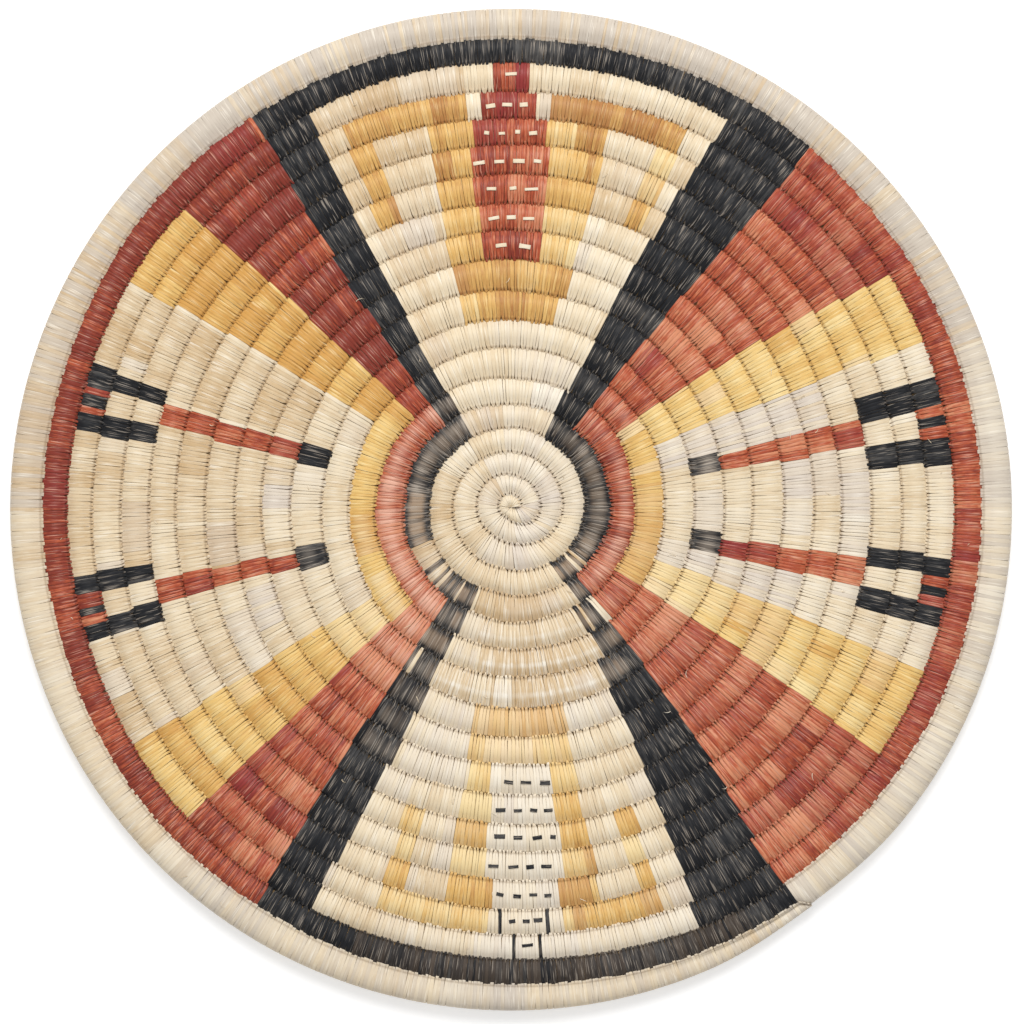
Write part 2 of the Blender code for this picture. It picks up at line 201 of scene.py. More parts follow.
class SplintColours(bpy.types.PropertyGroup):
    """Colours of the splints, from the darkest run of each dye to the palest."""

    natural_deep: colour("Natural, deep", "Tan undyed splints", (202, 172, 130))
    natural_clear: colour("Natural, clear", "Most undyed splints", (229, 211, 180))
    natural_pale: colour("Natural, pale", "Palest undyed splints", (239, 229, 210))
    natural_other: colour("Natural, other", "Greyer undyed splints", (216, 203, 188))
    natural_worn: colour("Natural, worn", "Bare fibres on undyed splints", (246, 238, 223))
    rim_other: colour("Rim, other", "Greyer splints of the rim", (202, 190, 175))
    yellow_deep: colour("Yellow, deep", "Deepest yellow splints", (208, 156, 82))
    yellow_clear: colour("Yellow, clear", "Most yellow splints", (229, 190, 116))
    yellow_pale: colour("Yellow, pale", "Palest yellow splints", (240, 216, 158))
    yellow_other: colour("Yellow, other", "Yellow splints that have lost most of their dye", (234, 210, 172))
    yellow_worn: colour("Yellow, worn", "Bare fibres on yellow splints", (247, 230, 182))
    ochre_deep: colour("Ochre, deep", "Deepest ochre splints", (176, 120, 66))
    ochre_clear: colour("Ochre, clear", "Most ochre splints", (221, 176, 102))
    ochre_pale: colour("Ochre, pale", "Palest ochre splints", (235, 210, 158))
    ochre_other: colour("Ochre, other", "Brown splints among the ochre", (184, 132, 84))
    ochre_worn: colour("Ochre, worn", "Bare fibres on ochre splints", (240, 214, 156))
    red_deep: colour("Red, deep", "Deepest red splints", (132, 52, 38))
    red_clear: colour("Red, clear", "Most red-brown splints", (182, 86, 54))
    red_pale: colour("Red, pale", "Most faded red splints", (212, 140, 104))
    red_other: colour("Red, other", "Crimson splints", (146, 52, 50))
    red_worn: colour("Red, worn", "Bare fibres on red splints", (226, 172, 148))
    black_deep: colour("Black, deep", "Blackest splints", (20, 21, 24))
    black_clear: colour("Black, clear", "Most black splints", (36, 37, 40))
    black_pale: colour("Black, pale", "Faded black splints", (84, 82, 80))
    black_other: colour("Black, other", "Black splints that have gone brown", (160, 136, 112))
    black_worn: colour("Black, worn", "Bare fibres on black splints", (180, 168, 154))
    grass_dark: colour("Grass, dark", "Shaded grass of the bundle", (100, 76, 44))
    grass_light: colour("Grass, light", "Lit grass of the bundle", (164, 134, 90))
    # Painted shade with some real dust: the colour that the grooves and the gaps between stitches are darkened towards
    shade_and_dust: colour("Shade and dust", "What has settled in the grooves", (134, 104, 66))


class StageSizes(bpy.types.PropertyGroup):
    """The floor, the lamps and the camera."""

    camera_height: length("Camera height", "Height of the camera above the plaque", 1.6)
    picture_width: length("Picture width", "Width that the picture spans at the plaque", 0.3628)
    picture_x: length("Picture X", "Middle of the picture", 0.00033)
    picture_y: length("Picture Y", "Middle of the picture", -0.00084)
    floor_size: length("Floor size", "Half of the floor's width", 4.0)
    lamp_power: FloatProperty(name="Lamp power", description="Power of the large lamp", default=20.5, min=0.0)
    lamp_width: length("Lamp width", "Width of the large lamp", 1.0)
    lamp_y: length("Lamp Y", "How far above the pattern the lamp stands", 1.0)
    lamp_height: length("Lamp height", "Height of the lamp over the floor", 1.4)
    sky: share("Sky", "Strength of the even light all round", 0.60)


def ease(along):
    """A smooth step from 0 to 1."""
    along = np.clip(along, 0.0, 1.0)
    return along * along * (3.0 - 2.0 * along)


def flat_bump(distance, half_width):
    """1 at no distance, falling in a smooth step to 0 at the half width."""
    return 1.0 - ease(np.abs(distance) / half_width)


def around(angle, start):
    """How far an angle lies counter-clockwise of a start, from 0 to 360."""
    return np.mod(angle - start, 360.0)


class Coil:
    """The spiral of the coil as functions of the turns made since the seam, worked out as whole arrays."""

    def __init__(self, sizes):
        self.sizes = sizes
        self.rim_radius = float(self.stepped(RIM_START)) + sizes.tip_width

    def stepped(self, turn):
        """The knot's radius plus the width of each round so far.

        A round's width is added partly at an even rate over its turn and partly in an eased step at the seam."""
        turn = np.asarray(turn, float)
        radius = np.full(turn.shape, self.sizes.knot_radius)
        first, last = EVEN_GROWTH_SHARES
        for index, width_share in enumerate(ROUND_WIDTH_SHARES):
            even = first + (last - first) * (index / (RIM_START - 1)) ** 3
            growing = np.clip(turn - index, 0.0, 1.0)
            step = ease((turn - index - 1 + STEP_BEFORE_SHARE) / (STEP_BEFORE_SHARE + STEP_AFTER_SHARE))
            radius = radius + self.sizes.coil_width * width_share * (even * growing + (1.0 - even) * step)
        return radius

    def radius(self, turn):
        """The stepped radius up to the rim, which then swells to its full radius in a short and a long step.

        The tip is drawn in a little at its end. On the left the middle rounds are drawn in by a smooth bump,
        and between heart and rim the mean of some sine waves makes the grooves stray."""
        turn = np.asarray(turn, float)
        start = float(self.stepped(RIM_START))
        short = ease((turn - RIM_START) / RIM_STEP_TURNS)
        long = ease((turn - RIM_START) / RIM_CLOSING_TURNS)
        swollen = start + (self.rim_radius - start) * (RIM_STEP_SHARE * short + (1.0 - RIM_STEP_SHARE) * long)
        swollen = swollen - self.sizes.tip_draw * ease(1.0 - (RIM_ROUND - turn) / TIP_DRAW_TURNS)
        plain = np.where(turn <= RIM_START, self.stepped(turn), swollen)
        angle = np.mod(SEAM + 360.0 * turn, 360.0)
        middle = ease((turn - 5.0) / 3.0) * (1.0 - ease((turn - 17.0) / 1.5))
        drawn = self.sizes.left_draw * flat_bump(angle - 180.0, 85.0) * middle
        waves = sum(np.sin(2.0 * np.pi * rate * turn + start_angle) for rate, start_angle in WAVES)
        stray = self.sizes.waviness * waves * ease((turn - 1.5) / 3.0) * (1.0 - ease((turn - 17.5) / 1.0))
        return plain - drawn + stray

    def outward(self, turn):
        """Unit vectors outward at some turns."""
        angle = np.radians(SEAM + 360.0 * np.asarray(turn, float))
        return np.stack((np.cos(angle), np.sin(angle)), axis=-1)

    def centre(self, turn):
        """The centre of the round, which drifts from the heart to the rim's centre."""
        drift = np.array((self.sizes.heart_x, self.sizes.heart_y))
        return drift * (1.0 - np.asarray(turn, float)[..., None] / RIM_ROUND)

    def outer(self, turn):
        """The groove outside the coil, in plan: the spiral, and in the heart the straying first groove."""
        turn = np.asarray(turn, float)
        even = self.centre(turn) + self.radius(turn)[..., None] * self.outward(turn)
        wound, reach = np.array(HEART_GROOVE).T
        strayed = np.interp(SEAM - 360.0 + 360.0 * turn, wound, reach)[..., None] * self.outward(turn)
        first, last = HEART_FADE_TURNS
        share_even = ease((turn - first) / (last - first))[..., None]
        return even * share_even + (self.hole() + strayed) * (1.0 - share_even)

    def hole(self):
        return np.array((self.sizes.hole_x, self.sizes.hole_y))

    def inner(self, turn):
        """The groove inside the coil, in plan.

        It is the outer groove of one turn before. In the button it is the rim of the small hole, and
        between the button's end and the notch it slides from that hole to the notch."""
        turn = np.asarray(turn, float)
        hole = self.hole() + self.sizes.hole_radius * self.outward(turn)
        notch = self.outer(np.full(turn.shape, NOTCH_TURN))
        slide = ease((turn - BUTTON_END_TURN) / (1.0 + NOTCH_TURN - BUTTON_END_TURN))[..., None]
        start = hole + (notch - hole) * slide
        return np.where((turn < 1.0 + NOTCH_TURN)[..., None], start, self.outer(turn - 1.0))

    def width(self, turn):
        return np.linalg.norm(self.outer(turn) - self.inner(turn), axis=-1)

    def half_thickness(self, turn):
        """Half of the coil's thickness, which tapers to the tip."""
        left = COIL_END - np.asarray(turn, float)
        full, tip = self.sizes.thickness / 2.0, self.sizes.tip_thickness / 2.0
        return tip + (full - tip) * ease(left / TIP_TAPER_SHARE)

    def dome(self, across):
        """Height of the coil's section at a share across it: a superellipse, 0 at the grooves and 1 at the crest."""
        side = np.abs(2.0 * np.clip(across, 0.0, 1.0) - 1.0)
        return (1.0 - side**self.sizes.roundness) ** (1.0 / self.sizes.roundness)

    def place(self, turn, across):
        """Plan position at a share across the coil; below 0 it reaches into the round inside."""
        inner = self.inner(turn)
        return inner + (self.outer(turn) - inner) * np.asarray(across)[..., None]

    def plan_angle(self, turn):
        """Angle about the rim's centre, in degrees from 0 to 360, of the middle of the coil."""
        x, y = np.moveaxis(self.place(turn, np.full(np.shape(turn), 0.5)), -1, 0)
        return np.mod(np.degrees(np.arctan2(y, x)), 360.0)

    def turn_at(self, a_round, angle):
        """The turn where a round has an angle about the rim's centre, by steps that each take the error off."""
        turn = a_round - 1.0 + around(angle, SEAM) / 360.0
        for _ in range(3):
            turn = turn - (np.mod(self.plan_angle(turn) - angle + 180.0, 360.0) - 180.0) / 360.0
        return turn


# The pattern, painted in order: piece, splint, first and last round, and where the field starts and ends
# in its first round and in its last. A later row goes over an earlier one.
FIELDS = (
    ("start_knot", "natural", 1, 1, (0.0, 0.0), (360.0, 360.0)),
    ("natural_heart", "natural", 2, 4, (0.0, 0.0), (360.0, 360.0)),
    ("natural_crescent_top", "natural", 5, 6, (60.0, 60.0), (124.0, 124.0)),
    ("natural_crescent_bottom", "natural", 5, 6, (240.0, 240.0), (330.0, 330.0)),
    ("natural_top_inner", "natural", 7, 10, (58.0, 58.0), (124.0, 124.0)),
    ("natural_bottom_inner", "natural", 7, 10, (240.0, 240.0), (316.0, 316.0)),
    ("natural_top_right", "natural", 11, 17, (58.0, 58.0), (90.0, 90.0)),
    ("natural_top_left", "natural", 11, 17, (90.0, 90.0), (122.0, 122.0)),
    ("natural_bottom_left", "natural", 11, 17, (240.0, 240.0), (272.0, 272.0)),
    ("natural_bottom_right", "natural", 11, 17, (272.0, 272.0), (300.0, 300.0)),
    ("natural_fan_right", "natural", 8, 17, (335.0, 335.0), (28.0, 28.0)),
    ("natural_fan_left", "natural", 8, 17, (143.0, 143.0), (216.0, 216.0)),
    ("black_crescent_right", "black", 5, 5, (326.0, 326.0), (65.8, 65.8)),
    ("black_crescent_left", "black", 5, 5, (119.0, 119.0), (247.7, 247.7)),
    ("red_crescent_right", "red", 6, 6, (314.5, 314.5), (52.5, 52.5)),
    ("red_crescent_left", "red", 6, 6, (127.5, 127.5), (235.5, 235.5)),
    ("black_ray_upper_right", "black", 6, 6, (52.5, 52.5), (65.0, 65.0)),
    ("black_ray_upper_left", "black", 6, 6, (118.5, 118.5), (127.5, 127.5)),
    ("black_ray_lower_left", "black", 6, 6, (235.5, 235.5), (247.0, 247.0)),
    ("black_ray_lower_right", "black", 7, 7, (302.0, 302.0), (309.7, 309.7)),
    ("red_ray_lower_right", "red", 7, 7, (313.5, 313.5), (329.5, 329.5)),
    ("yellow_crescent_right", "yellow", 7, 7, (329.5, 329.5), (36.0, 36.0)),
    ("yellow_crescent_left", "yellow", 7, 7, (136.0, 136.0), (223.0, 223.0)),
    ("red_ray_upper_right", "red", 7, 17, (36.0, 32.0), (52.0, 50.3)),
    ("black_ray_upper_right", "black", 7, 17, (52.0, 50.3), (64.4, 61.0)),
    ("black_ray_upper_left", "black", 7, 17, (119.0, 117.3), (127.0, 123.5)),
    ("red_ray_upper_left", "red", 7, 17, (127.0, 123.5), (136.0, 137.5)),
    ("red_ray_lower_left", "red", 7, 17, (223.0, 223.6), (235.0, 237.0)),
    ("black_ray_lower_left", "black", 7, 17, (235.0, 237.0), (245.5, 243.1)),
    ("yellow_ray_upper_right", "yellow", 8, 17, (24.0, 22.0), (36.0, 32.0)),
    ("yellow_ray_upper_left", "yellow", 8, 17, (136.0, 137.5), (147.0, 149.2)),
    ("yellow_ray_lower_left", "yellow", 8, 17, (212.0, 212.0), (223.1, 223.6)),
    ("black_ray_lower_right", "black", 8, 17, (299.4, 294.5), (311.5, 306.0)),
    ("red_ray_lower_right", "red", 8, 17, (311.5, 306.0), (329.5, 326.4)),
    ("yellow_ray_lower_right", "yellow", 8, 17, (329.5, 326.4), (341.0, 338.6)),
    ("border_red_right", "red", 18, 18, (305.0, 305.0), (50.5, 50.5)),
    ("border_black_top", "black", 18, 18, (50.5, 50.5), (123.5, 123.5)),
    ("border_red_left", "red", 18, 18, (123.5, 123.5), (237.0, 237.0)),
    ("border_black_bottom", "black", 18, 18, (237.0, 237.0), (306.0, 306.0)),
    ("rim_coil", "natural", 19, 19, (0.0, 0.0), (360.0, 360.0)),
    ("rim_tip", "natural", 19, 19, (272.0, 272.0), (306.3, 306.3)),
)

# Single rounds of the figures, each as round: (start, end, start, end ...)
TOP_EAR = {
    17: (87.6, 92.4), 16: (86.6, 94.2), 15: (84.7, 95.6), 14: (83.8, 96.8), 13: (83.8, 96.6),
    12: (84.0, 96.3), 11: (83.8, 96.0),
}
TOP_FRAME_RIGHT = {
    16: (65.0, 84.4), 15: (65.0, 68.1, 75.6, 84.7), 14: (65.0, 68.4, 75.2, 83.8), 13: (64.8, 68.5, 75.5, 83.8),
    12: (75.5, 84.0), 11: (75.5, 83.8),
}
TOP_FRAME_LEFT = {
    16: (96.4, 113.7), 15: (95.6, 102.6, 110.9, 114.2), 14: (96.8, 102.8, 110.8, 114.4),
    13: (96.6, 103.0, 110.8, 115.0), 12: (96.3, 103.5), 11: (96.0, 103.7),
}
TOP_BASE = {10: (75.5, 103.5), 9: (77.0, 104.0)}
BOTTOM_EAR = {
    17: (269.9, 274.0), 16: (266.8, 277.2), 15: (267.0, 277.3), 14: (266.0, 278.3), 13: (265.6, 278.4),
    12: (266.0, 278.5), 11: (265.9, 278.5),
}
BOTTOM_FRAME_LEFT = {
    16: (251.2, 266.8), 15: (251.0, 254.1, 260.6, 267.0), 14: (251.0, 254.0, 260.3, 266.0),
    13: (250.5, 254.3, 260.2, 265.6), 12: (260.5, 266.0),
}
BOTTOM_FRAME_RIGHT = {
    16: (277.2, 291.0), 15: (277.3, 283.0, 288.6, 291.1), 14: (278.3, 283.4, 288.5, 291.3),
    13: (278.4, 283.5, 288.7, 292.1), 12: (278.5, 283.4),
}
BOTTOM_BASE = {11: (260.6, 265.9, 278.5, 283.6), 10: (260.3, 284.2), 9: (260.0, 284.8)}
BOTTOM_LINES = {17: (270.3, 270.3, 273.7, 273.7), 16: (268.3, 268.3, 275.3, 275.3)}

# The four forks in the fans: both tines, the comb on the last round, the shaft and its foot
FORKS = {
    "right_high": ((6.5, 10.1, 13.8, 17.8), (6.0, 9.5, 11.0, 12.5, 14.0, 17.3), (10.2, 14.6), (10.2, 15.5)),
    "left_high": (
        (160.8, 163.6, 166.9, 169.6), (160.5, 163.6, 164.7, 166.1, 167.0, 169.7), (162.8, 166.6), (161.5, 167.9)
    ),
    "left_low": (
        (188.4, 191.2, 194.7, 197.6), (188.6, 191.4, 193.0, 193.9, 195.3, 197.6), (191.1, 194.9), (190.2, 196.0)
    ),
    "right_low": (
        (344.6, 347.5, 351.3, 354.0), (344.6, 347.2, 348.5, 349.6, 351.3, 353.5), (347.5, 352.2), (348.0, 354.1)
    ),
}
FORK_TINE_ROUNDS = (15, 16)
FORK_COMB_ROUND = 17
FORK_SHAFT_ROUNDS = range(10, 15)
FORK_FOOT_ROUND = 9

# The ears' dashes by round: how far across the round they lie, and then each dash's start and end
TOP_DASHES = {
    17: (0.55, 89.2, 90.8), 16: (0.44, 87.6, 88.8, 89.8, 91.3, 92.2, 93.6),
    15: (0.41, 86.0, 87.3, 88.6, 89.4, 90.9, 91.9, 93.3, 94.1),
    14: (0.40, 85.0, 86.3, 87.7, 89.7, 91.1, 92.8, 94.3, 96.3), 13: (0.48, 85.1, 87.6, 89.0, 90.3, 92.6, 94.4),
    12: (0.41, 85.4, 87.7, 89.0, 90.9, 92.3, 94.5), 11: (0.42, 85.7, 88.3, 90.9, 93.4),
}
BOTTOM_DASHES = {
    17: (0.36, 271.4, 272.9), 16: (0.38, 269.7, 270.6, 271.6, 272.6, 273.1, 274.4),
    15: (0.46, 267.8, 268.9, 270.3, 271.5, 272.7, 273.9, 274.9, 276.0),
    14: (0.48, 266.3, 268.0, 269.5, 271.2, 272.4, 273.7, 274.8, 276.5),
    13: (0.43, 267.0, 269.0, 270.4, 272.0, 273.7, 275.4, 276.8, 277.8),
    12: (0.46, 267.0, 269.0, 270.5, 272.1, 273.6, 275.0, 276.2, 277.9),
    11: (0.56, 268.5, 270.5, 272.0, 274.3, 276.0, 278.2),
}

# A dash as stations along it, and how far its top stands over the stitches there, in shares of its rise
DASH_STATIONS = (0.0, 0.07, 0.5, 0.93, 1.0)
DASH_RISES = (-0.5, 0.85, 1.0, 0.85, -0.5)

# A stray end as stations along it, and how high and how wide it is there, in shares
STRAY_STATIONS = (0.0, 0.25, 0.5, 0.75, 1.0)
STRAY_RISES = (-0.3, 0.5, 0.9, 1.0, 0.8)
STRAY_WIDTHS = (1.0, 0.9, 0.75, 0.5, 0.15)


def figure_fields():
    """The rows of the ears, their frames and the forks, in the form of FIELDS."""
    rows = []

    def add(piece, splint, table):
        for a_round, edges in table.items():
            for start, end in zip(edges[::2], edges[1::2]):
                rows.append((piece, splint, a_round, a_round, (start, start), (end, end)))

    add("ochre_base_top", "ochre", TOP_BASE)
    add("ochre_frame_right", "ochre", TOP_FRAME_RIGHT)
    add("ochre_frame_left", "ochre", TOP_FRAME_LEFT)
    add("red_ear_top", "red", TOP_EAR)
    add("yellow_base_bottom", "yellow", BOTTOM_BASE)
    add("ochre_frame_bottom_left", "ochre", BOTTOM_FRAME_LEFT)
    add("ochre_frame_bottom_right", "ochre", BOTTOM_FRAME_RIGHT)
    add("pale_ear_bottom", "natural", BOTTOM_EAR)
    add("black_lines_bottom", "black", BOTTOM_LINES)
    for name, (tines, comb, shaft, foot) in FORKS.items():
        side = name.split("_")[0]
        black = {a_round: tines for a_round in FORK_TINE_ROUNDS}
        black[FORK_FOOT_ROUND] = foot
        add(f"red_forks_{side}", "red", {FORK_COMB_ROUND: (comb[0], comb[-1])})
        add(f"red_forks_{side}", "red", {a_round: shaft for a_round in FORK_SHAFT_ROUNDS})
        add(f"black_forks_{side}", "black", black)
        add(f"black_forks_{side}", "black", {FORK_COMB_ROUND: comb})
    return rows


ALL_FIELDS = FIELDS + tuple(figure_fields())

# Pieces that the scene adds inside a field of the solid model, with the nodes that they stand for too
SHARED_NODES = {
    "ochre_base_top": ("natural_top_inner",),
    "yellow_base_bottom": ("natural_bottom_inner",),
    "ochre_frame_bottom_left": ("natural_bottom_left",),
    "ochre_frame_bottom_right": ("natural_bottom_right",),
    "black_lines_bottom": ("pale_ear_bottom",),
    "red_forks_right": ("natural_fan_right",),
    "black_forks_right": ("natural_fan_right",),
    "red_forks_left": ("natural_fan_left",),
    "black_forks_left": ("natural_fan_left",),
    "white_dashes_top": ("red_ear_top",),
    "black_dashes_bottom": ("pale_ear_bottom",),
    "stray_ends": ("rim_coil",),
}


# How much the tone varies from run to run, from stitch to stitch, along a stitch and from fibre to fibre, how
# often a run has the other colour, how many fibres are bare and how much they show, how much shade is painted
# along the gaps between stitches (line) and in the grooves (groove, with some dust), and how rough the splint is
LOOKS = {
    "natural": {
        "run": 0.10, "stitch": 0.16, "blotch": 0.30, "fibre": 0.5, "odd": 0.15, "bare": 0.35, "bare_shows": 0.5,
        "line": 0.38, "groove": 0.70, "roughness": 0.55, "sheen": 0.30, "relief": 0.25, "uneven": 0.7, "crest": 0.6,
    },
    "yellow": {
        "run": 0.12, "stitch": 0.22, "blotch": 0.35, "fibre": 0.8, "odd": 0.08, "bare": 0.35, "bare_shows": 0.4,
        "line": 0.50, "groove": 0.80, "roughness": 0.52, "sheen": 0.30, "relief": 0.35, "uneven": 0.4, "crest": 2.0,
    },
    "ochre": {
        "run": 0.12, "stitch": 0.24, "blotch": 0.35, "fibre": 0.8, "odd": 0.08, "bare": 0.35, "bare_shows": 0.4,
        "line": 0.50, "groove": 0.80, "roughness": 0.52, "sheen": 0.30, "relief": 0.35, "uneven": 0.4, "crest": 2.0,
    },
    "red": {
        "run": 0.16, "stitch": 0.45, "blotch": 0.70, "fibre": 1.6, "odd": 0.06, "bare": 0.40, "bare_shows": 0.5,
        "line": 0.75, "groove": 0.90, "roughness": 0.48, "sheen": 0.30, "relief": 0.60, "uneven": 0.4, "crest": 1.8,
    },
    "black": {
        "run": 0.10, "stitch": 0.36, "blotch": 0.40, "fibre": 1.0, "odd": 0.00, "bare": 0.40, "bare_shows": 0.5,
        "line": 0.45, "groove": 0.60, "roughness": 0.60, "sheen": 0.17, "relief": 0.45, "uneven": 1.0, "crest": 1.5,
    },
}
# On the rim the painted shade along the stitch edges and the relief are fainter
RIM_LOOKS = {"line": 0.20, "relief": 0.15}

